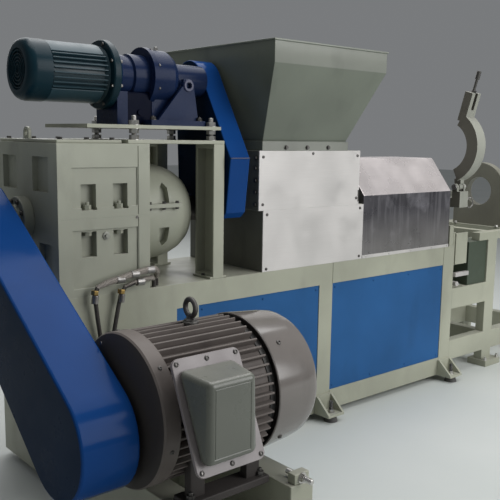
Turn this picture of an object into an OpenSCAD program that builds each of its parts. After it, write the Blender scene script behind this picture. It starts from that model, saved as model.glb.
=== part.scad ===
// Plastic extruder with hopper, feeder drive, main motor and discharge stand. Millimetres.

/* [Base frame] */
// Length of the base frame, from the drive end to the discharge end
base_l = 2674; // [1600:1:3600]
// Width of the base frame, front to back
base_w = 600; // [400:1:900]
// Height of the base frame's deck above the floor
base_h = 848; // [600:1:1100]
// Height of the frame's underside above the floor
base_low = 34; // [20:1:60]
// Length of the plain plated section under the gearbox
drive_l = 565; // [400:1:800]
// Height of the top rail above the blue panels
rail_h = 112; // [60:1:160]
// Height of the bottom rail below the blue panels
low_rail_h = 110; // [60:1:160]
// Width of the narrow panel beside the plain section
narrow_w = 55; // [30:1:90]
// Width of the post after the narrow panel
post_a_w = 67; // [40:1:120]
// Distance from the drive end to the middle post
post_b_x = 1474; // [1100:1:1900]
// Width of the middle post
post_b_w = 100; // [60:1:160]
// Width of the last post
end_post_w = 109; // [60:1:160]
// Thickness of each blue panel
panel_t = 6; // [3:1:12]
// How far the panels' seats go into the frame
panel_set = 10; // [6:1:20]
// Width of each foot bracket
foot_w = 120; // [80:1:180]
// How far each foot bracket stands out of the frame
foot_out = 105; // [70:1:150]
// Thickness of the foot brackets
foot_t = 14; // [8:1:20]
// Radius of the rubber levelling pads
pad_r = 38; // [25:1:60]
// Radius of the levelling studs
stud_r = 10; // [6:1:16]

/* [Gearbox] */
// Length of the gear case along the machine
gear_l = 425; // [300:1:600]
// Height of the gear case above the deck
gear_h = 619; // [450:1:800]
// Height of the split line above the deck
split_z = 318; // [200:1:450]
// Length of the thick end block of the gear case
rim_block_l = 106; // [70:1:150]
// Depth of the bolt pockets in the front
pocket_d = 42; // [20:1:70]
// Width of each bolt pocket
pocket_w = 68; // [40:1:90]
// Height of each bolt pocket
pocket_h = 104; // [70:1:140]
// Depth of the shallow bays round the pockets
bay_d = 8; // [4:1:14]
// Radius of the input bearing cap
cap_r = 92; // [60:1:130]
// How far the input bearing cap stands out
cap_t = 45; // [25:1:70]
// Radius of the input shaft
shaft_r = 28; // [18:1:40]
// Radius of the thrust bearing housing
bell_r = 225; // [180:1:260]
// Length of the thrust bearing housing, with its domed end
bell_l = 335; // [280:1:338]
// Length of the housing's straight part
bell_flat = 135; // [90:1:180]
// Radius at the end of the housing's dome
bell_end_r = 118; // [95:1:140]
// Distance of the screw axis behind the frame's front
axis_y = 300; // [200:1:450]
// Height of the screw axis above the floor
axis_z = 1150; // [1000:1:1300]
// Radius of the round neck between the housing and the feed box
neck_r = 60; // [40:1:80]
// Thickness of the plate on top of the gear case
lid_t = 14; // [8:1:24]
// Radius of the lifting lug on the gear case
lug_r = 26; // [16:1:40]

/* [Feeder drive] */
// Distance from the drive end to the support posts
post_x = 767; // [700:1:850]
// Width of the support posts
post_w = 61; // [40:1:90]
// Depth of the support posts
post_d = 140; // [80:1:180]
// Thickness of the plate on the posts
under_t = 16; // [10:1:25]
// Length of the drive's mounting plate
plate_l = 680; // [500:1:900]
// Distance from the drive end to the mounting plate
plate_x = 150; // [80:1:260]
// Distance of the mounting plate behind the frame's front
plate_y = 30; // [10:1:80]
// Width of the mounting plate
plate_w = 380; // [300:1:500]
// Thickness of the mounting plate
plate_t = 15; // [8:1:24]
// Open height between the two plates
plate_gap = 47; // [30:1:80]
// How far the four studs stand above the mounting plate
stud_top = 42; // [25:1:60]
// Radius of the four studs
rod_r = 11; // [7:1:16]
// Corner radius of the nuts on the studs
nut_r = 19; // [13:1:26]
// Distance of the feeder drive's axis behind the frame's front
drive_y = 220; // [160:1:300]
// Height of the feeder drive's axis above its mounting plate
drive_up = 210; // [195:1:260]
// How far the feeder motor's fan cover passes the drive end
fan_x = 55; // [20:1:100]
// Radius of the feeder motor's fan cover
fan_r = 124; // [90:1:160]
// Length of the feeder motor's fan cover
fan_l = 100; // [70:1:140]
// Outer radius of the feeder motor's fins
fin_r = 122; // [90:1:150]
// Depth of the feeder motor's cooling fins
fin_d = 16; // [10:1:22]
// Number of the feeder motor's cooling fins
fin_n = 36; // [24:1:48]
// Thickness of one fin of the feeder motor
fin_t = 5; // [3:1:7]
// Length of the feeder motor's finned body
motor_l = 258; // [180:1:340]
// Radius of the flange between feeder motor and reducer
flange_r = 146; // [110:1:180]
// Thickness of that flange
flange_t = 40; // [20:1:60]
// Length of the reducer's slender section
cone_l = 170; // [120:1:230]
// Radius of the reducer's slender section
cone_r = 88; // [60:1:110]
// Length of the reducer's large section
case_l = 150; // [110:1:200]
// Radius of the reducer's large section
case_r = 132; // [100:1:160]
// Thickness of the reducer's foot
reducer_foot_t = 24; // [14:1:36]
// Length of the reducer's foot
reducer_foot_l = 290; // [200:1:380]
// Width of the reducer's foot
reducer_foot_w = 300; // [270:1:360]
// Thickness of the reducer's side brackets
bracket_t = 18; // [10:1:26]
// Radius of the lug on each side bracket
eye_r = 30; // [20:1:40]
// Distance from the drive end to the feeder's belt guard
chain_x = 840; // [800:1:900]
// Thickness of the feeder's belt guard
chain_t = 115; // [80:1:160]
// Radius of the feeder guard's top
chain_top_r = 106; // [90:1:140]
// Radius of the feeder guard's rear at the bottom
chain_low_r = 190; // [160:1:230]
// Distance of the middle of that radius behind the frame's front
chain_low_y = 195; // [150:1:260]
// Height of the middle of that radius
chain_low_z = 1300; // [1250:1:1400]
// Height of the fold in the feeder guard's front
chain_fold_z = 1403; // [1350:1:1450]
// How far the fold stands out in front of the frame
chain_out = 31; // [10:1:50]

/* [Feed box and hopper] */
// Distance from the drive end to the feed box
feed_x = 1040; // [980:1:1100]
// Length of the feed box's upper part
feed_l = 717; // [500:1:900]
// Height of the feed box's top above the floor
feed_top = 1438; // [1350:1:1550]
// Height of the line between the two steel sheets
feed_mid = 1150; // [1050:1:1250]
// How far the lower part stands back from the upper at the drive side
feed_step = 30; // [15:1:50]
// Length of the feed box's lower part
feed_low_l = 730; // [500:1:900]
// Thickness of the steel sheets on the front
sheet_t = 6; // [3:1:10]
// Length and width of the hopper's bottom flange
throat_l = 600; // [450:1:760]
// Width of the hopper's bottom flange
throat_rim = 50; // [30:1:70]
// Height of the hopper's bottom flange
throat_t = 46; // [25:1:60]
// Distance from the drive end to the hopper's bottom flange
hop_x = 1057; // [1000:1:1150]
// How far the hopper widens along the machine on each side
hop_out_x = 95; // [50:1:150]
// How far the hopper widens to the front and back
hop_out_y = 170; // [90:1:240]
// Height of the hopper's sloped walls
hop_h = 350; // [250:1:450]
// Height of the hopper's upright top band
hop_band = 104; // [60:1:140]
// Thickness of the hopper's walls
hop_t = 8; // [5:1:14]
// How far the hopper's folded top edge stands out
hop_lip = 6; // [4:1:20]

/* [Barrel and clamp] */
// Distance from the drive end to the barrel cover
cover_x = 1800; // [1780:1:1900]
// Distance from the barrel cover's end to the end of the base frame
cover_in = 69; // [40:1:90]
// Height of the barrel cover's upright front
cover_side_h = 347; // [250:1:420]
// Height of the barrel cover's ridge above the deck
cover_h = 542; // [430:1:640]
// Width of the barrel cover's flat top
cover_top_w = 300; // [200:1:400]
// Radius of the barrel behind the discharge flange
barrel_r = 100; // [70:1:118]
// Distance from the end of the base frame to the barrel's end flange
ring_out = 26; // [20:1:60]
// Thickness of the discharge flange
ring_t = 100; // [70:1:130]
// Radius of the discharge flange
end_r = 147; // [120:1:160]
// Radius of the melt bore in the discharge flange
bore_r = 62; // [40:1:80]
// Clearance between the clamp and the flange
clamp_gap = 6; // [5:1:9]
// Outer radius of the clamp's hinged half
clamp_r = 230; // [215:1:260]
// Outer radius of the clamp's fixed half
low_clamp_r = 190; // [175:1:205]
// How far the hinged half stands open
open_deg = 85; // [70:1:95]
// Distance of the clamp's hinge behind the frame's front
hinge_y = 45; // [30:1:60]
// Height of the clamp's hinge above the screw axis
hinge_up = 62; // [55:1:80]
// Radius of the clamp's hinge pin
pin_r = 12; // [8:1:16]
// Radius of the hinge lugs
lug_out_r = 20; // [16:1:26]
// How far the fixed half's slotted ear reaches from the screw axis
ear_out = 345; // [300:1:380]
// Distance of the hinged half's ear root from the screw axis
ear_r = 188; // [180:1:200]
// Length of the hinged half's ear
ear_l = 180; // [140:1:220]
// Width of the hinged half's ear
ear_w = 56; // [44:1:64]
// Width of the slot in the clamp's ear
ear_slot = 26; // [16:1:34]
// Radius of the clamp's bolt
bolt_r = 9; // [6:1:12]
// Length of the clamp's bolt
bolt_l = 190; // [120:1:240]
// Thickness of the upright rest under the flange
rest_w = 40; // [25:1:60]

/* [Discharge stand] */
// Length of the discharge stand past the base frame
stand_l = 1080; // [800:1:1500]
// Distance from the base frame to the stand's first posts
stand_post_x = 380; // [250:1:500]
// Width of the stand's posts
stand_post_w = 105; // [60:1:140]
// Height of the stand's upper rail
stand_rail_z = 857; // [750:1:950]
// Height of the stand's upper rail section
stand_rail_h = 52; // [30:1:80]
// Height of the lower edge of the stand's middle rail
mid_rail_z = 443; // [300:1:550]
// Height of the stand's middle rail
mid_rail_h = 131; // [80:1:180]
// Height of the lower edge of the stand's bottom rail
low_rail_z = 109; // [60:1:160]
// Height of the stand's bottom rail
stand_low_h = 126; // [80:1:160]
// Depth of the stand's rails and posts
stand_t = 60; // [40:1:90]
// Height of the stand's foot plates
sole_t = 40; // [20:1:60]
// Distance from the bored plate to the far end of the discharge stand
plate_end_in = 384; // [340:1:450]
// Thickness of the bored plate
plate_end_t = 60; // [40:1:90]
// Width of the bored plate
plate_end_w = 400; // [300:1:480]
// Radius of the bored plate's round top
plate_end_r = 200; // [150:1:240]
// Radius of the bored plate's opening
port_r = 98; // [70:1:120]
// Length of the green box on the stand
box_l = 205; // [140:1:260]
// Depth of the green box on the stand
box_w = 260; // [180:1:340]

/* [Main motor and belt guard] */
// Distance of the main motor's axis in front of the frame
main_y = 600; // [520:1:700]
// Height of the main motor's axis above the floor
main_z = 588; // [520:1:680]
// How far the main motor's end bell passes the drive end
main_x = 98; // [90:1:104]
// Outer radius of the main motor's fins
main_r = 262; // [200:1:320]
// Length from the end bell's face to the fan cowl
main_l = 498; // [420:1:600]
// Length of the main motor's end bell
end_l = 60; // [45:1:95]
// Radius of the main motor's fan cowl
cowl_r = 265; // [200:1:325]
// Radius of the fan cowl's far edge
cowl_end_r = 236; // [180:1:300]
// Length of the fan cowl
cowl_l = 225; // [150:1:300]
// Distance of the main motor's feet from the end of the frame
main_foot_x = 20; // [10:1:60]
// Thickness of the main motor's feet
main_foot_t = 28; // [18:1:40]
// Distance of the main motor's feet from its middle
main_foot_y = 205; // [160:1:230]
// Number of the main motor's cooling fins
main_fin_n = 48; // [32:1:60]
// Depth of the main motor's cooling fins
main_fin_d = 26; // [14:1:36]
// Thickness of one fin of the main motor
main_fin_t = 8; // [5:1:11]
// Lean of the terminal box's base plate
term_tilt = 24; // [10:1:35]
// Length of the terminal box's base plate
term_l = 262; // [200:1:320]
// Height of the terminal box's base plate
term_h = 370; // [280:1:420]
// Thickness of the terminal box's base plate
term_t = 14; // [8:1:22]
// Distance of the terminal box's middle from the end of the frame
term_x = 87; // [60:1:140]
// Distance of the terminal box's base plate in front of the main motor's axis
term_out = 325; // [280:1:380]
// Height of the terminal box's middle above the main motor's axis
term_up = 60; // [40:1:90]
// Length of the terminal box's lid
lid_l = 182; // [140:1:230]
// Height of the terminal box's lid
lid_h = 262; // [200:1:320]
// Distance of the terminal box lid in front of the motor axis
lid_y = 420; // [380:1:480]
// Height of the main motor's bed
bed_top = 292; // [220:1:360]
// Width of the bed's slide rails
bed_rail_w = 110; // [70:1:160]
// Height of the bed's floor beams
bed_beam_h = 120; // [80:1:160]
// How far the belt guard's outer face passes the drive end
guard_x = 322; // [270:1:400]
// Thickness of the belt guard
guard_t = 204; // [150:1:209]
// Radius of the belt guard round the motor's pulley
guard_low_r = 195; // [160:1:230]
// Radius of the belt guard round the gear case's pulley
guard_top_r = 142; // [110:1:190]
// How far the guard's lower end hangs below the motor's axis
guard_drop = 60; // [20:1:90]
// Radius of the hoses
hose_r = 9; // [6:1:13]
// Length of hose that hangs below the deck
hose_drop = 288; // [200:1:400]

/* [Show] */
// Which piece to draw; all draws the whole machine

/* [Hidden] */
case_h = split_z;
deck = base_h;
gear_top = deck + gear_h;
post_b_mid = post_b_x + post_b_w / 2;
end_post_x = base_l - end_post_w;
end_foot_x = base_l - foot_w / 2;
post_a_x = drive_l + narrow_w;
panel_z0 = base_low + low_rail_h;
panel_z1 = deck - rail_h;
back_y = base_w;
under_z = gear_top;
plate_z = under_z + under_t + plate_gap;
foot_z = plate_z + plate_t;
drive_z = foot_z + drive_up;
stud_xa = plate_x + 235;
stud_xb = plate_x + plate_l - 35;
stud_ya = plate_y + 30;
stud_yb = plate_y + plate_w - 30;
motor_x = fan_l - fan_x;
flange_x = motor_x + motor_l;
cone_x = flange_x + flange_t;
case_x = cone_x + cone_l;
hub_x = case_x + case_l;
reducer_foot_x = plate_x + 330;
eye_x = reducer_foot_x + reducer_foot_l * 0.74;
eye_z = drive_z - eye_r;
hop_z = feed_top + throat_t;
band_z = hop_z + hop_h;
hop_top = band_z + hop_band;
wall_in = 10;
feed_low_x = feed_x + feed_step;
hinge_z = axis_z + hinge_up;
upper_in = end_r + clamp_gap;
ear_t = 40;
stand_end = base_l + stand_l;
stand_post = base_l + stand_post_x;
plate_end_x = stand_end - plate_end_in;
cover_l = base_l - cover_in - cover_x;
ring_x = base_l + ring_out;
rail_top = stand_rail_z + stand_rail_h;
cowl_x = main_l - main_x;
guard_in = guard_x - guard_t;
bed_a = 0;
bed_b = 400;
bed_front = main_y + 330;
sole_out = 10;
mid_x = (stand_end + sole_out - guard_x) / 2;
mid_y = (throat_l + hop_out_y + hop_lip - main_y - lid_y) / 2;
seat_gap = 0.3;
eps = 1;
sage = [0.55, 0.57, 0.50];
blue = [0.09, 0.22, 0.50];
steel = [0.72, 0.72, 0.71];
grey = [0.42, 0.40, 0.39];
teal = [0.10, 0.20, 0.24];
navy = [0.10, 0.13, 0.27];
dark = [0.12, 0.12, 0.12];

// A block given by its two corners
module block(x0, y0, z0, x1, y1, z1) {
    translate([x0, y0, z0]) cube([x1 - x0, y1 - y0, z1 - z0]);
}

// A round bar lying along the machine
module bar(x0, len, r, y, z, r2 = -1) {
    translate([x0, y, z]) rotate([0, 90, 0])
        cylinder(h = len, r1 = r, r2 = r2 < 0 ? r : r2, $fn = 36);
}

// A turned piece lying along the machine, from a profile of radius and distance
module turned(x0, y, z, profile) {
    translate([x0, y, z]) rotate([0, 90, 0]) rotate_extrude($fn = 40) polygon(profile);
}

// A motor's body with cooling fins all round, lying along the machine
module finned(x0, len, r, depth, n, t, y, z) {
    translate([x0, y, z]) rotate([90, 0, 90]) linear_extrude(height = len) union() {
        circle(r = r - depth, $fn = n);
        for (i = [0 : n - 1]) rotate(360 * i / n) translate([0, -t / 2]) square([r, t]);
    }
}

// Openings of a fan's grille, set into the end of a cover in rings of slots
module grille(x0, depth, y, z, r0, r1, rings) {
    step = (r1 - r0) / rings;
    translate([x0, y, z]) rotate([90, 0, 90]) linear_extrude(height = depth)
        for (i = [0 : rings - 1]) difference() {
            circle(r = r0 + step * (i + 0.6), $fn = 24);
            circle(r = r0 + step * i, $fn = 24);
            for (a = [0, 60, 120]) rotate(a) square([2 * r1, step * 0.5], center = true);
        }
}

// A profile in the cross plane, drawn out along the machine
module along(x0, len) {
    translate([x0, 0, 0]) rotate([90, 0, 90]) linear_extrude(height = len) children();
}

// A tapering block between two levels
module taper(b, t, z0, z1) {
    polyhedron(
        points = [
            [b[0], b[1], z0], [b[2], b[1], z0], [b[2], b[3], z0], [b[0], b[3], z0],
            [t[0], t[1], z1], [t[2], t[1], z1], [t[2], t[3], z1], [t[0], t[3], z1]],
        faces = [
            [0, 1, 2, 3], [7, 6, 5, 4], [4, 5, 1, 0],
            [5, 6, 2, 1], [6, 7, 3, 2], [7, 4, 0, 3]]);
}

// Unit vector
function unit(v) = v / norm(v);

// Direction of a path at one of its points
function heading(p, i) =
    unit(p[min(i + 1, len(p) - 1)] - p[max(i - 1, 0)]);

// One ring of a tube's surface
function ring_at(p, i, r, n) =
    let (t = heading(p, i))
    let (u = unit(cross(t, [0, 1, 0])))
    let (v = cross(u, t))
    [for (k = [0 : n - 1]) p[i] + r * (cos(360 * k / n) * u + sin(360 * k / n) * v)];

// A hose along a path of points
module hose(p, r) {
    n = 10;
    m = len(p);
    polyhedron(
        points = [for (i = [0 : m - 1]) each ring_at(p, i, r, n)],
        faces = concat(
            [[for (k = [0 : n - 1]) n - 1 - k]],
            [[for (k = [0 : n - 1]) (m - 1) * n + k]],
            [for (i = [0 : m - 2]) for (k = [0 : n - 1])
                [i * n + k, i * n + (k + 1) % n,
                 (i + 1) * n + (k + 1) % n, (i + 1) * n + k]]));
}

// Everything stands with the middle of its outline over the origin
module placed(tint) {
    color(tint) translate([-mid_x, -mid_y, 0]) children();
}

// The bracket that carries one levelling foot; side is 1 at the front, -1 at the back
module bracket(x, side) {
    y0 = side > 0 ? 0 : back_y;
    translate([x, y0, base_low]) scale([1, -side, 1]) {
        block(-foot_w / 2, -eps, 0, foot_w / 2, foot_out, foot_t);
        block(-foot_w / 2, -eps, 0, foot_w / 2, foot_t, low_rail_h - foot_t);
        for (e = [-foot_w / 2, foot_w / 2 - foot_t])
            translate([e, 0, 0]) rotate([90, 0, 90]) linear_extrude(height = foot_t)
                polygon([[0, 0], [foot_out, 0], [foot_out, foot_t], [foot_t, low_rail_h - foot_t],
                         [0, low_rail_h - foot_t]]);
    }
}

// A seat for a blue panel in the front and in the back of the frame
module seats(x0, x1) {
    block(x0, -eps, panel_z0, x1, panel_set, panel_z1);
    block(x0, back_y - panel_set, panel_z0, x1, back_y + eps, panel_z1);
}

module base_frame() {
    placed(sage) difference() {
        union() {
            block(0, 0, base_low, base_l, base_w, deck);
            for (x = [250, post_b_mid, end_foot_x])
                for (s = [1, -1]) bracket(x, s);
        }
        seats(drive_l, post_a_x);
        seats(post_a_x + post_a_w, post_b_x);
        seats(post_b_x + post_b_w, end_post_x);
        for (x = [250, post_b_mid, end_foot_x])
            for (y = [-foot_out * 0.6, back_y + foot_out * 0.6])
                translate([x, y, base_low - eps]) cylinder(h = foot_t + 2 * eps, r = stud_r, $fn = 24);
    }
}

// One blue panel, set into its seat
module panel(x0, x1, y0) {
    placed(blue) block(x0, y0, panel_z0, x1, y0 + panel_t, panel_z1);
}

front_in = panel_set - panel_t;

module panel_narrow() { panel(drive_l, post_a_x, front_in); }
module panel_middle() { panel(post_a_x + post_a_w, post_b_x, front_in); }
module panel_end() { panel(post_b_x + post_b_w, end_post_x, front_in); }
module panel_rear_middle() { panel(post_a_x + post_a_w, post_b_x, back_y - panel_set); }
module panel_rear_end() { panel(post_b_x + post_b_w, end_post_x, back_y - panel_set); }

// A rubber pad with its levelling stud
module foot(x, y) {
    placed(dark) translate([x, y, 0]) {
        cylinder(h = base_low - 8, r1 = pad_r, r2 = pad_r - 8, $fn = 30);
        cylinder(h = low_rail_h, r = stud_r, $fn = 24);
        translate([0, 0, base_low - 9]) cylinder(h = 9, r = stud_r + 8, $fn = 6);
    }
}

module foot_front_drive() { foot(250, -foot_out * 0.6); }
module foot_front_middle() { foot(post_b_mid, -foot_out * 0.6); }
module foot_front_end() { foot(end_foot_x, -foot_out * 0.6); }
module foot_rear_drive() { foot(250, back_y + foot_out * 0.6); }
module foot_rear_middle() { foot(post_b_mid, back_y + foot_out * 0.6); }
module foot_rear_end() { foot(end_foot_x, back_y + foot_out * 0.6); }

// Cuts made alike in the front and in the back of the gear case
module both_sides(x0, x1, z0, z1, d) {
    block(x0, -eps, z0, x1, d, z1);
    block(x0, base_w - d, z0, x1, base_w + eps, z1);
}

pocket_a = 104;
pocket_b = gear_l - rim_block_l - pocket_w;
split = deck + case_h;

module gear_case_lower() {
    placed(sage) difference() {
        block(0, 0, deck, gear_l, base_w, split);
        both_sides(62, gear_l - 60, deck + 34, split - 46, bay_d);
        for (x = [pocket_a, pocket_b])
            both_sides(x, x + pocket_w, split - 54 - pocket_h, split - 54, pocket_d);
        for (y = [60, base_w - 60 - 115])
            block(-eps, y, deck + 76, 25, y + 115, deck + 212);
        both_sides(gear_l - 62, gear_l - 56, deck + 20, split - 6, 3);
    }
}

module gear_case_upper() {
    placed(sage) difference() {
        block(0, 0, split, gear_l, base_w, gear_top);
        both_sides(62, gear_l - 60, split + 44, gear_top - 96, bay_d);
        for (x = [pocket_a, pocket_b])
            both_sides(x, x + pocket_w, split + 34, split + 34 + pocket_h, pocket_d);
        for (y = [80, base_w - 80 - 143])
            block(-eps, y, split + 104, 25, y + 143, gear_top - 56);
        both_sides(gear_l - 62, gear_l - 56, split + 6, gear_top - 10, 3);
    }
}

module gear_lid() {
    placed(sage) {
        block(12, 24, gear_top, gear_l - rim_block_l - 14, base_w - 24, gear_top + lid_t);
        translate([40, 350, gear_top + lid_t]) rotate([90, 0, 90]) linear_extrude(height = 16, center = true)
            difference() {
                union() {
                    translate([0, lug_r]) circle(r = lug_r, $fn = 40);
                    translate([-lug_r, -eps]) square([2 * lug_r, lug_r + eps]);
                }
                translate([0, lug_r]) circle(r = lug_r * 0.5, $fn = 24);
            }
    }
}

module input_bearing_cap() {
    placed(sage) difference() {
        union() {
            bar(-cap_t, cap_t, cap_r, axis_y, axis_z);
            bar(-cap_t - 14, 15, cap_r - 34, axis_y, axis_z);
        }
        bar(-cap_t - 20, cap_t + 30, shaft_r + 1, axis_y, axis_z);
    }
}

module input_shaft() {
    placed(steel) bar(-guard_in, guard_in, shaft_r, axis_y, axis_z);
}

// Window in the wall of the thrust bearing housing, with its point away from the seam
module window(a) {
    up = sin(a) >= 0 ? 1 : -1;
    w = bell_r * 0.24;
    translate([gear_l + bell_flat * 0.75, axis_y, axis_z]) rotate([-a, 0, 0])
        translate([0, -bell_r * 0.86, 0]) rotate([90, 0, 0]) linear_extrude(height = bell_r)
            polygon([[0, -w * 0.85 * up], [w, -w * 0.85 * up], [w * 1.12, w * 0.5 * up], [w * 0.8, w * up],
                     [w * 0.3, w * 0.4 * up]]);
}

module thrust_housing() {
    dome = bell_l - bell_flat;
    drop = bell_r - bell_end_r;
    placed(sage) difference() {
        union() {
            turned(gear_l, axis_y, axis_z, concat(
                [[0, 0], [bell_r + 6, 0], [bell_r + 6, 16], [bell_r, 20]],
                [for (a = [0 : 15 : 90]) [bell_end_r + drop * cos(a), bell_flat + dome * sin(a)]],
                [[0, bell_l]]));
            for (s = [-1, 1])
                translate([gear_l, axis_y + s * bell_r, axis_z + bell_r * 0.2])
                    block(0, -20, -9, bell_l * 0.62, 20, 9);
        }
        for (a = [26, 154, -26, -154]) window(a);
    }
}

module screw_neck() {
    placed(sage) {
        bar(gear_l + bell_l, feed_x - gear_l - bell_l, neck_r, axis_y, axis_z);
        bar(gear_l + bell_l, 26, neck_r + 22, axis_y, axis_z);
    }
}

module support_post_front() {
    placed(sage) difference() {
        block(post_x, 0, deck, post_x + post_w, post_d, under_z);
        block(post_x - eps, 12, deck + 20, post_x + post_w - 12, post_d - 12, under_z - 20);
    }
}

module support_post_rear() {
    placed(sage) difference() {
        block(post_x, base_w - post_d, deck, post_x + post_w, base_w, under_z);
        block(post_x - eps, base_w - post_d + 12, deck + 20, post_x + post_w - 12, base_w - 12, under_z - 20);
    }
}

module under_plate() {
    placed(sage) block(gear_l - rim_block_l, 0, under_z, post_x + post_w, base_w, under_z + under_t);
}

module mount_plate() {
    placed(sage) difference() {
        block(plate_x, plate_y, plate_z, plate_x + plate_l, plate_y + plate_w, foot_z);
        for (x = [stud_xa, stud_xb]) for (y = [stud_ya, stud_yb])
            translate([x, y, plate_z - eps]) cylinder(h = plate_t + 2 * eps, r = rod_r + 0.5, $fn = 24);
    }
}

// A threaded stud with the nuts that hold the mounting plate
module stud(x, y) {
    placed(steel) translate([x, y, under_z + under_t]) {
        cylinder(h = plate_gap + plate_t + stud_top, r = rod_r, $fn = 24);
        translate([0, 0, plate_gap - 16]) cylinder(h = 16, r = nut_r, $fn = 6);
        translate([0, 0, plate_gap + plate_t]) cylinder(h = 18, r = nut_r, $fn = 6);
        cylinder(h = 16, r = nut_r, $fn = 6);
    }
}

module stud_front_left() { stud(stud_xa, stud_ya); }
module stud_front_right() { stud(stud_xb, stud_ya); }
module stud_rear_left() { stud(stud_xa, stud_yb); }
module stud_rear_right() { stud(stud_xb, stud_yb); }

module feeder_fan_cover() {
    placed(teal) difference() {
        turned(-fan_x, drive_y, drive_z, [[0, 0], [fan_r - 20, 0], [fan_r - 8, 5], [fan_r, 16],
                                          [fan_r, fan_l], [0, fan_l]]);
        grille(-fan_x - eps, 6 + eps, drive_y, drive_z, fan_r * 0.15, fan_r * 0.75, 3);
    }
}

module feeder_motor() {
    placed(teal) {
        bar(flange_x, flange_t, flange_r, drive_y, drive_z);
        finned(motor_x, motor_l, fin_r, fin_d, fin_n, fin_t, drive_y, drive_z);
        for (s = [-1, 1])
            translate([motor_x, drive_y, drive_z + s * (fin_r - fin_d / 2)])
                block(motor_l * 0.08, -fin_r * 0.36, -fin_d / 2, motor_l * 0.92, fin_r * 0.36, fin_d / 2);
    }
}

// One side bracket of the reducer's foot, with a lug and its eye at the top
module side_bracket(y) {
    x = reducer_foot_x;
    l = reducer_foot_l;
    top = foot_z + reducer_foot_t;
    translate([0, y + bracket_t / 2, 0]) rotate([90, 0, 0]) linear_extrude(height = bracket_t)
        difference() {
            union() {
                polygon([[x + l * 0.18, top - eps], [x + l * 0.93, top - eps],
                         [eye_x + eye_r, eye_z], [eye_x - eye_r * 0.9, eye_z]]);
                translate([eye_x - eye_r * 0.9, eye_z - eye_r * 0.6]) square([eye_r, eye_r * 1.5]);
                translate([eye_x, eye_z]) circle(r = eye_r, $fn = 24);
            }
            translate([eye_x, eye_z]) circle(r = eye_r * 0.4, $fn = 16);
        }
}

module feeder_reducer() {
    placed(navy) {
        turned(cone_x, drive_y, drive_z, [[0, 0], [cone_r + 24, 0], [cone_r + 22, 14], [cone_r + 8, 30],
            [cone_r, cone_l * 0.52], [cone_r + 10, cone_l * 0.56], [cone_r + 10, cone_l],
            [case_r, cone_l], [case_r, cone_l + 26], [case_r - 8, cone_l + 30],
            [case_r - 8, cone_l + case_l * 0.75], [case_r - 24, cone_l + case_l * 0.92],
            [case_r - 44, cone_l + case_l], [0, cone_l + case_l]]);
        bar(hub_x - eps, chain_x - hub_x + eps, case_r - 60, drive_y, drive_z);
        block(reducer_foot_x, drive_y - reducer_foot_w / 2, foot_z,
              reducer_foot_x + reducer_foot_l, drive_y + reducer_foot_w / 2, foot_z + reducer_foot_t);
        for (s = [-1, 1]) side_bracket(drive_y + s * (case_r - bracket_t));
        block(case_x + 10, drive_y - case_r * 0.6, foot_z + reducer_foot_t - eps,
              hub_x - 30, drive_y + case_r * 0.6, drive_z - case_r * 0.6);
        block(cone_x + 4, drive_y - 90, foot_z, cone_x + 56, drive_y + 90, drive_z - cone_r + 20);
    }
}

module feeder_guard() {
    placed(blue) difference() {
        hull() {
            bar(chain_x, chain_t, chain_top_r, axis_y, drive_z);
            bar(chain_x, chain_t, chain_low_r, chain_low_y, chain_low_z);
            along(chain_x, chain_t)
                polygon([[-chain_out, chain_fold_z], [0, axis_z], [chain_out, axis_z - 28]]);
        }
        bar(chain_x - eps, chain_t + 2 * eps, neck_r + 12, axis_y, axis_z);
        block(chain_x - eps, axis_y - neck_r - 12, axis_z - 200, chain_x + chain_t + eps,
              axis_y + neck_r + 12, axis_z);
    }
}

module feed_box() {
    placed(sage) {
        block(feed_x, sheet_t, feed_mid, feed_x + feed_l, base_w, feed_top);
        block(feed_low_x, sheet_t, deck, feed_low_x + feed_low_l, base_w, feed_mid + eps);
    }
}

module upper_sheet() {
    placed(steel) block(feed_x, 0, feed_mid, feed_x + feed_l, sheet_t, feed_top);
}

module lower_sheet() {
    placed(steel) block(feed_low_x, 0, deck, feed_low_x + feed_low_l, sheet_t, feed_mid);
}

module hopper() {
    x1 = hop_x + throat_l;
    x0 = hop_x + wall_in;
    xa = x0 - hop_out_x;
    xb = x1 - wall_in + hop_out_x;
    ya = -hop_out_y;
    yb = throat_l + hop_out_y;
    t = hop_t;
    placed(sage) difference() {
        union() {
            block(hop_x, 0, feed_top, x1, throat_l, hop_z);
            taper([x0, wall_in, x1 - wall_in, throat_l - wall_in], [xa, ya, xb, yb], hop_z - eps, band_z);
            block(xa, ya, band_z - eps, xb, yb, hop_top);
            block(xa - hop_lip, ya - hop_lip, hop_top - 8, xb + hop_lip, yb + hop_lip, hop_top);
        }
        block(hop_x + throat_rim, throat_rim, feed_top - eps,
              x1 - throat_rim, throat_l - throat_rim, hop_z + eps);
        taper([x0 + t, wall_in + t, x1 - wall_in - t, throat_l - wall_in - t],
              [xa + t, ya + t, xb - t, yb - t], hop_z, band_z);
        block(xa + t, ya + t, band_z - eps, xb - t, yb - t, hop_top + eps);
    }
}

module barrel_cover() {
    m = base_w / 2;
    h = cover_top_w / 2;
    placed(steel) along(cover_x, cover_l)
        polygon([[0, deck], [base_w, deck], [base_w, deck + cover_side_h],
                 [m + h, deck + cover_h], [m - h, deck + cover_h], [0, deck + cover_side_h]]);
}

module barrel() {
    placed(grey) difference() {
        union() {
            bar(cover_x + cover_l, ring_x - cover_x - cover_l + eps, barrel_r, axis_y, axis_z);
            bar(ring_x, ring_t, end_r, axis_y, axis_z);
        }
        bar(ring_x + ring_t - 70, 80, bore_r, axis_y, axis_z);
    }
}

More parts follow.
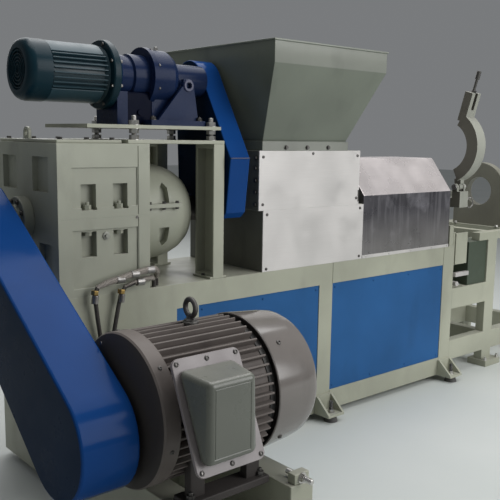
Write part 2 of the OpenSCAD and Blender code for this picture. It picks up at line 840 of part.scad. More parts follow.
module barrel_rest() {
    x0 = cover_x + cover_l + 12;
    placed(sage) difference() {
        union() {
            block(x0, 0, deck, x0 + rest_w, base_w, deck + 130);
            translate([x0, 0, 0]) rotate([90, 0, 90]) linear_extrude(height = rest_w)
                polygon([[60, deck + 129], [base_w - 60, deck + 129], [axis_y + 130, axis_z],
                         [axis_y - 130, axis_z]]);
        }
        bar(x0 - eps, rest_w + 2 * eps, barrel_r, axis_y, axis_z);
    }
}

// Sector of a ring in the cross plane, from angle a to angle b
module sector(r0, r1, a, b) {
    n = 24;
    polygon(concat(
        [for (i = [0 : n]) r1 * [cos(a + (b - a) * i / n), sin(a + (b - a) * i / n)]],
        [for (i = [0 : n]) r0 * [cos(b + (a - b) * i / n), sin(b + (a - b) * i / n)]]));
}

module clamp_lower() {
    lug_z = hinge_z - lug_out_r - 7;
    placed(grey) difference() {
        union() {
            along(ring_x + 5, ring_t - 10)
                translate([axis_y, axis_z]) sector(end_r - clamp_gap, low_clamp_r, 170, 380);
            along(ring_x + 5, ring_t - 10)
                translate([axis_y, axis_z]) rotate(20)
                    translate([end_r + 20, -ear_t]) square([ear_out - end_r - 20, ear_t]);
            block(ring_x + 5, hinge_y - 43, axis_z - 66, ring_x + ring_t - 5, hinge_y + 18, lug_z);
            block(ring_x + 5, hinge_y + 17, axis_z - 66,
                  ring_x + ring_t - 5, axis_y - low_clamp_r + 40, axis_z - 5);
            for (x = [ring_x + 5, ring_x + ring_t - 25]) {
                along(x, 20) translate([hinge_y - lug_out_r, lug_z - 1])
                    square([2 * lug_out_r - 2, hinge_z - lug_z + 1]);
                bar(x, 20, lug_out_r, hinge_y, hinge_z);
            }
        }
        bar(ring_x, ring_t, end_r + seat_gap, axis_y, axis_z);
        bar(ring_x, ring_t, pin_r, hinge_y, hinge_z);
        translate([0, axis_y, axis_z]) rotate([20, 0, 0])
            block(ring_x + ring_t / 2 - ear_slot / 2, low_clamp_r + 30, -ear_t - eps,
                  ring_x + ring_t / 2 + ear_slot / 2, ear_out + eps, eps);
    }
}

module hinge_pin() {
    placed(steel) {
        bar(ring_x - 5, ring_t + 10, pin_r, hinge_y, hinge_z);
        bar(ring_x - 5, 9, pin_r + 6, hinge_y, hinge_z);
        bar(ring_x + ring_t - 4, 9, pin_r + 6, hinge_y, hinge_z);
    }
}

// Turns the clamp's hinged half from shut to standing open
module opened() {
    translate([0, hinge_y, hinge_z]) rotate([open_deg, 0, 0]) translate([0, -hinge_y, -hinge_z]) children();
}

// Puts its children on the hinged half's ear, its length along Y
module on_ear() {
    translate([0, axis_y, axis_z]) rotate([38, 0, 0]) translate([0, ear_r, 0]) rotate([-18, 0, 0]) children();
}

module clamp_upper() {
    placed(grey) opened() difference() {
        union() {
            along(ring_x + 5, ring_t - 10)
                translate([axis_y, axis_z]) sector(upper_in, clamp_r, 35, 160);
            on_ear() block(ring_x + 5, 0, -ear_w / 2, ring_x + ring_t - 5, ear_l, ear_w / 2);
            along(ring_x + 31, ring_t - 62) polygon([[hinge_y, hinge_z - 20], [hinge_y + 50, hinge_z - 20],
                [hinge_y + 66, hinge_z + 30], [hinge_y + 20, hinge_z + 26]]);
            bar(ring_x + 31, ring_t - 62, lug_out_r, hinge_y, hinge_z);
        }
        bar(ring_x, ring_t, pin_r + 0.06, hinge_y, hinge_z);
        on_ear() block(ring_x + ring_t / 2 - ear_slot / 2, 75, -ear_w / 2 - eps,
                       ring_x + ring_t / 2 + ear_slot / 2, ear_l + eps, ear_w / 2 + eps);
    }
}

module clamp_bolt() {
    placed(steel) opened() on_ear() translate([ring_x + ring_t / 2, ear_l, 0]) rotate([-90, 0, 0]) {
        translate([0, 0, -60]) cylinder(h = bolt_l, r = bolt_r, $fn = 24);
        cylinder(h = 14, r = bolt_r * 2, $fn = 6);
        translate([0, 0, 80]) cylinder(h = 50, r = bolt_r + 5, $fn = 24);
    }
}

module discharge_stand() {
    placed(sage) {
        for (y = [0, base_w - stand_t]) {
            for (x = [stand_post, stand_end - stand_post_w])
                block(x, y, sole_t - eps, x + stand_post_w, y + stand_t, stand_rail_z + eps);
            block(base_l, y, low_rail_z, stand_end, y + stand_t, low_rail_z + stand_low_h);
            block(base_l, y, mid_rail_z, stand_post + eps, y + stand_t, mid_rail_z + mid_rail_h);
            block(stand_post - stand_post_w, y, stand_rail_z, stand_end, y + stand_t, rail_top);
            for (x = [stand_post - sole_out, stand_end + sole_out - stand_post_w - 70])
                block(x, y - 40, 0, x + stand_post_w + 70, y + stand_t + 40, sole_t);
        }
        for (x = [stand_post + 20, stand_end - stand_post_w + 20]) {
            block(x, stand_t - eps, low_rail_z, x + 60, base_w - stand_t + eps, low_rail_z + stand_low_h);
            block(x, stand_t - eps, stand_rail_z, x + 60, base_w - stand_t + eps, rail_top);
        }
        block(plate_end_x - 20, stand_t - eps, stand_rail_z, plate_end_x + plate_end_t + 20,
              base_w - stand_t + eps, rail_top);
    }
}

module bored_plate() {
    h = plate_end_w / 2;
    placed(sage) difference() {
        union() {
            bar(plate_end_x, plate_end_t, plate_end_r, axis_y, axis_z);
            block(plate_end_x, axis_y - h, rail_top, plate_end_x + plate_end_t, axis_y + h, axis_z);
        }
        bar(plate_end_x - eps, plate_end_t + 2 * eps, port_r, axis_y, axis_z);
    }
}

module stand_box() {
    placed([0.16, 0.22, 0.17])
        block(stand_post - box_l, 10, mid_rail_z + mid_rail_h + 0.3,
              stand_post - 0.3, 10 + box_w, stand_rail_z - 0.3);
}

module main_motor() {
    body_x = end_l - main_x;
    placed(grey) {
        finned(body_x, cowl_x - body_x, main_r, main_fin_d, main_fin_n, main_fin_t, -main_y, main_z);
        for (s = [-1, 1]) {
            y = -main_y + s * main_foot_y;
            block(main_foot_x, y - 45, bed_top, cowl_x - 30, y + 45, bed_top + main_foot_t);
            block(main_foot_x * 3, y - 18, bed_top + 10, cowl_x - 70, y + 18, main_z - main_r / 2);
        }
    }
}

module motor_end_bell() {
    r = main_r + 4;
    placed(grey) {
        turned(-main_x - 12, -main_y, main_z, [[0, 0], [84, 0], [90, 3], [r - 120, 12], [r - 56, 16],
                                              [r - 20, 32], [r - 3, 40], [r, 48],
                                              [r, end_l + 12], [0, end_l + 12]]);
        for (a = [0 : 36 : 324])
            translate([-main_x + 4, -main_y, main_z]) rotate([a, 0, 0]) block(0, -5, r - 140, 24, 5, r - 16);
    }
}

module motor_cowl() {
    placed(grey) difference() {
        turned(cowl_x, -main_y, main_z, [[0, 0], [cowl_r - 3, 0], [cowl_r, 5], [cowl_r - 12, cowl_l * 0.66],
                                         [cowl_r - 17, cowl_l * 0.8], [cowl_end_r, cowl_l * 0.96],
                                         [cowl_end_r - 14, cowl_l], [0, cowl_l]]);
        grille(cowl_x + cowl_l - 8, 8 + eps, -main_y, main_z, cowl_end_r * 0.14, cowl_end_r * 0.78, 4);
    }
}

module motor_shaft() {
    placed(steel) bar(-guard_in, guard_in - main_x - 12, 32, -main_y, main_z);
}

module terminal_box() {
    cx = term_x;
    cy = -main_y - term_out;
    cz = main_z + term_up;
    neck = term_l * 0.31;
    placed(grey) {
        difference() {
            block(cx - neck, cy + term_t * 3, cz - neck, cx + neck, -main_y - main_r * 0.6, cz + neck);
            bar(0, main_l, main_r + seat_gap, -main_y, main_z);
            bar(-main_x, end_l, main_r + 4 + seat_gap, -main_y, main_z);
        }
        translate([cx, cy, cz]) rotate([-term_tilt, 0, 0])
            block(-term_l / 2, 0, -term_h / 2, term_l / 2, term_t, term_h / 2);
        hull() {
            translate([cx, cy, cz]) rotate([-term_tilt, 0, 0])
                block(-term_l * 0.45, 0, -term_h * 0.42, term_l * 0.4, 2, term_h * 0.39);
            block(cx - lid_l * 0.63, -main_y - lid_y, cz - lid_h / 2, cx + lid_l * 0.37,
                  -main_y - lid_y + 6, cz + lid_h / 2);
        }
    }
}

module motor_bed() {
    placed(sage) {
        for (x = [bed_a, bed_b])
            block(x, -bed_front, 0, x + bed_rail_w, 0, bed_top);
        for (y = [-bed_front, -250])
            block(bed_a + bed_rail_w - eps, y, 0, bed_b + eps, y + 90, bed_beam_h);
    }
}

module belt_guard() {
    placed(blue) hull() {
        bar(-guard_x, guard_t, guard_low_r, -main_y + guard_drop / 4, main_z - guard_drop);
        bar(-guard_x, guard_t, guard_top_r, axis_y, axis_z);
    }
}

// A hose from the frame's front, up past the gear case and down to the deck. Its bends are given as
// shares of the length that hangs below the deck, from the gear case's lower corner.
module routed(bends) {
    last = len(bends) - 1;
    hose([for (i = [0 : last])
        [gear_l, i == 0 ? -hose_r - seat_gap : 0, deck + (i == last ? seat_gap : 0)] + hose_drop * bends[i]],
        hose_r);
}

module hose_long() {
    placed(dark) routed([
        [-0.816, 0.000, -1.000], [-0.878, -0.069, -0.722], [-0.955, -0.104, -0.306],
        [-1.003, -0.125, 0.007], [-0.969, -0.146, 0.139], [-0.816, -0.160, 0.194],
        [-0.608, -0.160, 0.236], [-0.365, -0.153, 0.285], [-0.156, -0.139, 0.312],
        [0.017, -0.083, 0.306], [0.128, 0.021, 0.243], [0.181, 0.115, 0.125],
        [0.184, 0.118, 0.000]]);
}

module hose_short() {
    placed(dark) routed([
        [-0.740, 0.000, -1.000], [-0.705, -0.069, -0.722], [-0.642, -0.104, -0.306],
        [-0.587, -0.118, -0.028], [-0.517, -0.132, 0.097], [-0.365, -0.139, 0.146],
        [-0.184, -0.125, 0.167], [-0.031, -0.069, 0.160], [0.059, 0.014, 0.132],
        [0.094, 0.049, 0.076], [0.094, 0.049, 0.000]]);
}

base_frame();
panel_narrow();
panel_middle();
panel_end();
panel_rear_middle();
panel_rear_end();
foot_front_drive();
foot_front_middle();
foot_front_end();
foot_rear_drive();
foot_rear_middle();
foot_rear_end();
gear_case_lower();
gear_case_upper();
gear_lid();
input_bearing_cap();
input_shaft();
thrust_housing();
screw_neck();
support_post_front();
support_post_rear();
under_plate();
mount_plate();
stud_front_left();
stud_front_right();
stud_rear_left();
stud_rear_right();
feeder_fan_cover();
feeder_motor();
feeder_reducer();
feeder_guard();
feed_box();
upper_sheet();
lower_sheet();
hopper();
barrel_cover();
barrel();
barrel_rest();
clamp_lower();
hinge_pin();
clamp_upper();
clamp_bolt();
discharge_stand();
bored_plate();
stand_box();
main_motor();
motor_end_bell();
motor_cowl();
motor_shaft();
terminal_box();
motor_bed();
belt_guard();
hose_long();
hose_short();
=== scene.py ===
"""Looks for a plastic extruder with hopper, belt-fed feeder, main motor and discharge stand."""
import logging
import math
from dataclasses import dataclass
from enum import Enum
from typing import Callable, Sequence

import bmesh
import bpy
from mathutils import Matrix, Vector


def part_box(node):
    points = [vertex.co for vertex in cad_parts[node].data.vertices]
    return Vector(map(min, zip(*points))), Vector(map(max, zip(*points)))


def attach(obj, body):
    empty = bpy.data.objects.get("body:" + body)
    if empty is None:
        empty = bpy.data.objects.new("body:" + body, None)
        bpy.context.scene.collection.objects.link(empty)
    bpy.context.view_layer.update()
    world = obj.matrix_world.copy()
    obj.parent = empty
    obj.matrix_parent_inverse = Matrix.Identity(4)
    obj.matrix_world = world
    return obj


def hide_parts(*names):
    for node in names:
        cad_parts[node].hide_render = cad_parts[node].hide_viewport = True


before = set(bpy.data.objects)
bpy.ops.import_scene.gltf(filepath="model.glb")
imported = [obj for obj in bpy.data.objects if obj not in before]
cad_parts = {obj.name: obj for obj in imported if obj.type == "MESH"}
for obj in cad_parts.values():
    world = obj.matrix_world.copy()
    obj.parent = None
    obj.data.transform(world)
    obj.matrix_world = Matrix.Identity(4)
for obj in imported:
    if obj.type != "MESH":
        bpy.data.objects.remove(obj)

log = logging.getLogger("extruder")
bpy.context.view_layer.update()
CORNER = Vector(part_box("gear_case_lower")[0])
MACHINE = "machine"
CLAMP = "clamp"
MERGE = 1e-5
SLIVER = 4e-4
ROUNDED_OVER = 0.5
SHADED_SHARP = math.radians(22)
Colour = tuple[float, float, float]
Profile = Sequence[tuple[float, float]]
Socket = bpy.types.NodeSocket
Piece = bpy.types.Object
Part = bmesh.types.BMesh


def at(x: float, y: float, z: float) -> Vector:
    """Turns millimetres along, behind and above the frame's drive-end front corner into a place in metres."""
    return Vector((CORNER.x + x / 1000, CORNER.y + y / 1000, z / 1000))


class Axis(Enum):
    """Direction in which a piece lies or a face looks."""

    ALONG = (1.0, 0.0, 0.0)
    DRIVE = (-1.0, 0.0, 0.0)
    BACK = (0.0, 1.0, 0.0)
    FRONT = (0.0, -1.0, 0.0)
    UP = (0.0, 0.0, 1.0)
    DOWN = (0.0, 0.0, -1.0)

    @property
    def vector(self) -> Vector:
        """The direction as a vector."""
        return Vector(self.value)


Way = Axis | Vector


class Texture(Enum):
    """Kinds of surface grain that a paint or metal finish can have."""

    SMOOTH = "smooth"
    CAST = "cast"
    BRUSHED = "brushed"


class Graph:
    """A material's node tree, with short ways to add to it."""

    def __init__(self, name: str) -> None:
        """Starts a material with one surface shader.

        Args:
            name: The material's name.
        """
        self.material = bpy.data.materials.new(name)
        self.material.use_nodes = True
        self.tree = self.material.node_tree
        self.surface = self.tree.nodes["Principled BSDF"]
        self.place = self.add("ShaderNodeTexCoord").outputs["Object"]

    def put(self, node: bpy.types.Node, socket: str | int, value: object) -> None:
        """Sets a node's input, by name or number, to a value, or links it to another node's output."""
        if isinstance(value, Socket):
            self.tree.links.new(value, node.inputs[socket])
        else:
            node.inputs[socket].default_value = value

    def fill(self, node: bpy.types.Node, **values: object) -> bpy.types.Node:
        """Sets or links inputs of a node, named with underscores for spaces, and gives the node back."""
        for key, value in values.items():
            self.put(node, key.replace("_", " "), value)
        return node

    def add(self, kind: str, **values: object) -> bpy.types.Node:
        """Adds a node with its inputs filled in."""
        return self.fill(self.tree.nodes.new(kind), **values)

    def noise(self, scale: float, detail: float = 3.0, stretch: Sequence[float] = (1, 1, 1)) -> Socket:
        """Gives a cloudy pattern: a higher scale is finer, and unequal stretch makes streaks."""
        mapping = self.add("ShaderNodeMapping", Vector=self.place, Scale=stretch)
        return self.add("ShaderNodeTexNoise", Vector=mapping.outputs[0], Scale=scale, Detail=detail).outputs[0]

    def range(self, value: Socket, low: float, high: float, out: Sequence[float]) -> Socket:
        """Stretches a value from between low and high to between the two outputs, and clamps it."""
        return self.add("ShaderNodeMapRange", Value=value, From_Min=low, From_Max=high, To_Min=out[0],
                        To_Max=out[1]).outputs[0]

    def blend(self, factor: Socket, first: Socket | Colour, second: Socket | Colour) -> Socket:
        """Mixes two colours.

        Args:
            factor: How much of the second colour shows.
            first: The first colour.
            second: The second colour.

        Returns:
            The mixed colour.
        """
        node = self.add("ShaderNodeMix")
        node.data_type = "RGBA"
        for index, value in ((0, factor), (6, first), (7, second)):
            self.put(node, index, value if isinstance(value, Socket) else (*value, 1.0))
        return node.outputs[2]

    def times(self, first: Socket, second: Socket) -> Socket:
        """Multiplies two values.

        Args:
            first: The first value.
            second: The second value.

        Returns:
            The product.
        """
        node = self.add("ShaderNodeMath")
        node.operation = "MULTIPLY"
        self.put(node, 0, first)
        self.put(node, 1, second)
        return node.outputs[0]

    def upward(self, low: float, high: float) -> Socket:
        """Tells, from 0 to 1, how far a surface faces up, for dust that settles there."""
        normal = self.add("ShaderNodeNewGeometry").outputs["Normal"]
        return self.range(self.add("ShaderNodeSeparateXYZ", Vector=normal).outputs[2], low, high, (0, 1))

    def relief(self, height: Socket, strength: float, distance: float) -> None:
        """Gives the surface a relief with a pattern's height and a depth in metres."""
        bump = self.add("ShaderNodeBump", Height=height, Strength=strength, Distance=distance)
        self.fill(self.surface, Normal=bump.outputs[0])


@dataclass(frozen=True)
class Finish:
    """A named surface finish that belongs to one slot."""

    name: str
    slot: str
    colour: Colour

    def material(self) -> bpy.types.Material:
        """Builds the finish's material, once.

        Returns:
            The material.
        """
        known = bpy.data.materials.get(self.name)
        if known:
            return known
        g = Graph(self.name)
        self.draw(g)
        return g.material

    def draw(self, g: Graph) -> None:
        """Fills a plain material; each kind of finish has its own way."""
        g.fill(g.surface, Base_Color=(*self.colour, 1.0))

    def shade(self, share: float, more: float = 0.0) -> Colour:
        """Gives the finish's colour, darker or lighter by a share, with a little more added."""
        return tuple(min(1.0, c * share + more) for c in self.colour)


@dataclass(frozen=True)
class Paint(Finish):
    """A machine paint with uneven gloss, settled dust and grimy patches."""

    roughness: float = 0.42
    grain: Texture = Texture.SMOOTH
    dust: float = 0.25
    grime: float = 0.3
    gloss: float = 0.4
    dust_colour: Colour = (0.46, 0.44, 0.40)

    def draw(self, g: Graph) -> None:
        """Draws clouds in the colour, then grime, then dust on what faces up.

        Args:
            g: The material's nodes.
        """
        body = g.blend(g.range(g.noise(1.7, 5.0), 0.35, 0.66, (0, 1)), self.shade(0.84), self.shade(1.1))
        dirt = g.range(g.noise(6.0, 8.0, (1, 1, 0.45)), 0.55, 0.75, (0, self.grime))
        body = g.blend(dirt, body, self.shade(0.45, 0.004))
        settled = g.times(g.upward(0.6, 1.0), g.range(g.noise(9.0, 7.0), 0.3, 0.7, (self.dust * 0.4, self.dust)))
        rough = g.range(g.noise(11.0, 6.0), 0.3, 0.7, (self.roughness * 0.82, min(1.0, self.roughness * 1.25)))
        g.fill(g.surface, Base_Color=g.blend(settled, body, self.dust_colour), Roughness=rough,
               Specular_IOR_Level=self.gloss)
        if self.grain is Texture.CAST:
            g.relief(g.noise(230.0, 4.0), 0.22, 0.0007)
        else:
            g.relief(g.noise(70.0, 3.0), 0.06, 0.0005)


@dataclass(frozen=True)
class Metal(Finish):
    """Bare steel or brass: brushed sheet, turned or plated pieces, with smudges."""

    roughness: float = 0.3
    grain: Texture = Texture.BRUSHED
    smudge: float = 0.3
    metallic: float = 0.9
    handled: float = 0.0
    # Strength of soft dark patches of painted reflection.
    clouds: float = 0.0
    brushed_along: tuple[float, float, float] = (1.0, 1.0, 60.0)
    wiped_colour: Colour = (0.34, 0.33, 0.36)
    stroke_colour: Colour = (0.30, 0.29, 0.31)
    low_tint_colour: Colour = (0.24, 0.23, 0.22)
    low_tint_heights: tuple[float, float] = (0.90, 1.10)

    def draw(self, g: Graph) -> None:
        """Draws brush streaks and smudges, then soft dark clouds of painted reflection, and wiped patches, strokes
        and a paler tint towards the bottom, where there are any.

        Args:
            g: The material's nodes.
        """
        patches = g.range(g.noise(4.2, 9.0), 0.45, 0.68, (0, self.smudge))
        streaks = g.range(g.noise(7.0, 6.0, self.brushed_along), 0.3, 0.7, (0, 0.35))
        body = g.blend(patches, g.blend(streaks, self.colour, self.shade(0.82)), self.shade(0.55))
        # Painted reflection: soft dark patches stand in for reflections across the sheet.
        if self.clouds > 0:
            reflection_patch = g.range(g.noise(2.1, 1.5, (1.6, 1.0, 0.6)), 0.42, 0.62, (0, self.clouds))
            body = g.blend(reflection_patch, body, self.shade(0.5))
        if self.handled > 0:
            wiped = g.range(g.noise(4.2, 12.0, (1.6, 1.0, 1.0)), 0.53, 0.66, (0, self.handled))
            strokes = g.range(g.noise(3.0, 9.0, (14.0, 1.0, 1.2)), 0.5, 0.7, (0, self.handled * 0.6))
            body = g.blend(strokes, g.blend(wiped, body, self.wiped_colour), self.stroke_colour)
            # Paler towards the bottom of the piece.
            height = g.add("ShaderNodeSeparateXYZ", Vector=g.place).outputs[2]
            body = g.blend(g.range(height, *self.low_tint_heights, (0.6, 0.0)), body, self.low_tint_colour)
        rough = g.range(g.noise(5.0, 8.0), 0.35, 0.65, (self.roughness * 0.75, self.roughness * 1.5))
        g.fill(g.surface, Base_Color=body, Metallic=self.metallic, Roughness=rough)
        if self.grain is Texture.BRUSHED:
            g.relief(g.noise(18.0, 5.0, self.brushed_along), 0.18, 0.0004)
        else:
            g.relief(g.noise(150.0, 4.0), 0.25, 0.0006)


@dataclass(frozen=True)
class Rubber(Finish):
    """Dull rubber or cast plastic, dusty on top."""

    roughness: float = 0.75
    dust_colour: Colour = (0.3, 0.29, 0.27)

    def draw(self, g: Graph) -> None:
        """Draws a dark, grainy surface with dust on what faces up.

        Args:
            g: The material's nodes.
        """
        dusty = g.times(g.range(g.noise(14.0, 7.0), 0.35, 0.75, (0.05, 0.45)), g.upward(-0.4, 1.0))
        rough = g.range(g.noise(30.0), 0.3, 0.7, (self.roughness - 0.12, self.roughness + 0.1))
        g.fill(g.surface, Base_Color=g.blend(dusty, self.colour, self.dust_colour), Roughness=rough)
        g.relief(g.noise(220.0, 4.0), 0.4, 0.0008)


@dataclass(frozen=True)
class Braid(Finish):
    """Woven steel wire round a hose: two crossing sets of strands."""

    gap: Colour = (0.15, 0.135, 0.12)
    strands: float = 95.0
    lean: float = 0.7

    def draw(self, g: Graph) -> None:
        """Draws the strands, raised and brighter than the gaps between them.

        Args:
            g: The material's nodes.
        """
        waves = []
        for turn in (self.lean, -self.lean):
            mapping = g.add("ShaderNodeMapping", Vector=g.place, Rotation=(0.0, turn, 0.0))
            waves.append(g.add("ShaderNodeTexWave", Vector=mapping.outputs[0], Scale=self.strands).outputs[1])
        weave = g.times(*waves)
        g.fill(g.surface, Base_Color=g.blend(g.range(weave, 0.05, 0.6, (0, 1)), self.gap, self.colour),
               Metallic=0.55, Roughness=g.range(weave, 0.0, 0.8, (0.65, 0.38)))
        g.relief(weave, 0.8, 0.0012)


SAGE = Paint("sage machine paint", "sage_paint", (0.335, 0.342, 0.27), 0.38)
SAGE_CAST = Paint("sage paint on castings", "sage_paint", (0.325, 0.335, 0.27), 0.42, Texture.CAST, 0.3, 0.4)
# Painted shade: sage darkened for faces that lie in shade.
SHADED = Paint("sage with painted shade", "sage_paint", (0.11, 0.112, 0.092), 0.5, Texture.SMOOTH, 0.1, 0.6)
# Painted light: the hopper's front band, lighter than the cone as if lit from above.
HOPPER_BAND_PAINTED_LIGHT = Paint("hopper band with painted light", "sage_paint", (0.225, 0.235, 0.205), 0.34, Texture.SMOOTH, 0.1, 0.3)
# Painted shade: the hopper's sage, darkened because its walls face down into shade.
HOPPER_PAINTED_SHADE = Paint("hopper sage with painted shade", "sage_paint", (0.15, 0.168, 0.135), 0.34, Texture.SMOOTH, 0.1, 0.35)
BLUE = Paint("blue panel paint", "blue_paint", (0.022, 0.095, 0.25), 0.36, Texture.SMOOTH, 0.0, 0.2, 0.08)
GUARD_BLUE = Paint("blue guard paint", "blue_paint", (0.007, 0.046, 0.18), 0.14, Texture.SMOOTH, 0.0, 0.1, 0.055)
GUARD_SHADE = Paint("shaded guard face", "blue_paint", (0.003, 0.016, 0.045), 0.3, Texture.SMOOTH, 0.0, 0.1, 0.03)
TEAL = Paint("dark teal paint", "teal_paint", (0.005, 0.022, 0.032), 0.3, Texture.CAST, 0.0, 0.2, 0.12)
# Painted sheen: the motor body's teal, lighter than the flange's, stands in for its glossy sheen.
TEAL_FINS_SHEEN = Paint("dusty teal fins with painted sheen", "teal_paint", (0.022, 0.052, 0.068), 0.34, Texture.CAST, 0.03, 0.2, 0.25)
NAVY = Paint("navy blue paint", "navy_paint", (0.009, 0.019, 0.058), 0.26, Texture.CAST, 0.0, 0.15, 0.08)
# Painted shade: navy darkened nearly to black for a part that lies in shadow.
NAVY_SHADE = Paint("navy with painted shade", "navy_paint", (0.002, 0.004, 0.015), 0.34, Texture.CAST, 0.0, 0.15, 0.03)
SLATE = Paint("slate blue paint", "navy_paint", (0.03, 0.036, 0.085), 0.32, Texture.SMOOTH, 0.06, 0.15)
GREY = Paint("warm grey motor paint", "motor_grey", (0.14, 0.122, 0.113), 0.36, Texture.CAST, 0.08, 0.6, 0.1)
# Painted shade: motor grey darkened for faces and parts that lie in shade.
MOTOR_SHADE = Paint("motor grey with painted shade", "motor_grey", (0.05, 0.045, 0.043), 0.4, Texture.CAST, 0.0, 0.5, 0.1)
COWL_GREY = Paint("glossy cowl paint", "motor_grey", (0.145, 0.131, 0.122), 0.13, Texture.SMOOTH, 0.04, 0.5, 0.5)
PALE_GREY = Paint("pale grey plate paint", "motor_grey", (0.23, 0.205, 0.205), 0.34, Texture.SMOOTH, 0.1, 0.3)
LID_GREY = Paint("terminal lid paint", "motor_grey", (0.125, 0.132, 0.112), 0.3, Texture.SMOOTH, 0.2, 0.2)
OLIVE = Paint("worn clamp paint", "clamp_paint", (0.29, 0.295, 0.255), 0.36, Texture.CAST, 0.3, 0.5)
# Painted shade: clamp olive darkened for end faces that lie in shade.
OLIVE_PAINTED_SHADE = Paint("clamp end face with painted shade", "clamp_paint", (0.10, 0.095, 0.078), 0.4, Texture.CAST, 0.2, 0.4)
BORED = Paint("oily bored plate", "clamp_paint", (0.165, 0.162, 0.13), 0.42, Texture.CAST, 0.15, 0.45)
GREEN = Paint("dark green paint", "green_paint", (0.042, 0.058, 0.038), 0.5, Texture.SMOOTH, 0.2, 0.4)
# Painted reflection: the sheet's soft dark clouds stand in for reflections.
SHEET = Metal("brushed sheet steel", "sheet_steel", (0.56, 0.54, 0.525), 0.4, metallic=0.4, smudge=0.05, clouds=0.3)
# Painted reflection: bright steel for the cover's faces that look up.
COVER_TOP_REFLECTION = Metal("cover steel with painted bright reflection", "sheet_steel", (0.65, 0.60, 0.595), 0.28, metallic=0.5, smudge=0.04,
                  clouds=0.4)
# Painted reflection: this steel is darkened to show a dark reflection, with smudges and wiped marks on top.
COVER = Metal("smudged cover steel with painted dark reflection", "sheet_steel", (0.07, 0.067, 0.076), 0.28, metallic=0.55, smudge=0.1,
              handled=0.45)
STEEL = Metal("bright turned steel", "bright_steel", (0.5, 0.49, 0.47), 0.3, Texture.SMOOTH)
DARK_STEEL = Metal("oiled dark steel", "bright_steel", (0.12, 0.115, 0.11), 0.42, Texture.SMOOTH)
FITTING = Metal("worn hose fitting", "bright_steel", (0.27, 0.26, 0.25), 0.4, Texture.SMOOTH, 0.5)
BRASS = Metal("brass fitting", "bright_steel", (0.52, 0.36, 0.13), 0.3, Texture.SMOOTH)
PAD = Rubber("levelling pad rubber", "pad_rubber", (0.025, 0.024, 0.024))
HOSE = Rubber("dark hose rubber", "hose_rubber", (0.03, 0.026, 0.023))
BRAID = Braid("steel hose braid", "hose_rubber", (0.55, 0.50, 0.45))


def direction(way: Way) -> Vector:
    """Gives a named axis or any other vector as a vector of length 1."""
    return way.vector if isinstance(way, Axis) else way.normalized()


def turn_to(way: Way) -> Matrix:
    """Gives the turn that lays an upright piece along an axis; its third column is that axis."""
    return direction(way).to_track_quat("Z", "Y").to_matrix()


def as_mesh(name: str, part: Part) -> bpy.types.Mesh:
    """Writes a bmesh into a new mesh and frees it.

    Args:
        name: The mesh's name.
        part: The bmesh.

    Returns:
        The mesh.
    """
    data = bpy.data.meshes.new(name)
    part.to_mesh(data)
    part.free()
    return data


def put_in_scene(name: str, data: bpy.types.ID) -> Piece:
    """Puts a new object into the scene, at the origin.

    Args:
        name: The object's name.
        data: Its mesh, lamp or camera.

    Returns:
        The object.
    """
    piece = bpy.data.objects.new(name, data)
    bpy.context.scene.collection.objects.link(piece)
    return piece


def round_edges(part: Part, edges: Sequence[bmesh.types.BMEdge], width: float, steps: int) -> None:
    """Rounds some edges of a part to a width, in a number of steps."""
    bmesh.ops.bevel(part, geom=edges, offset=width, offset_type="OFFSET", segments=steps, profile=0.5,
                    affect="EDGES", clamp_overlap=True, material=-1)


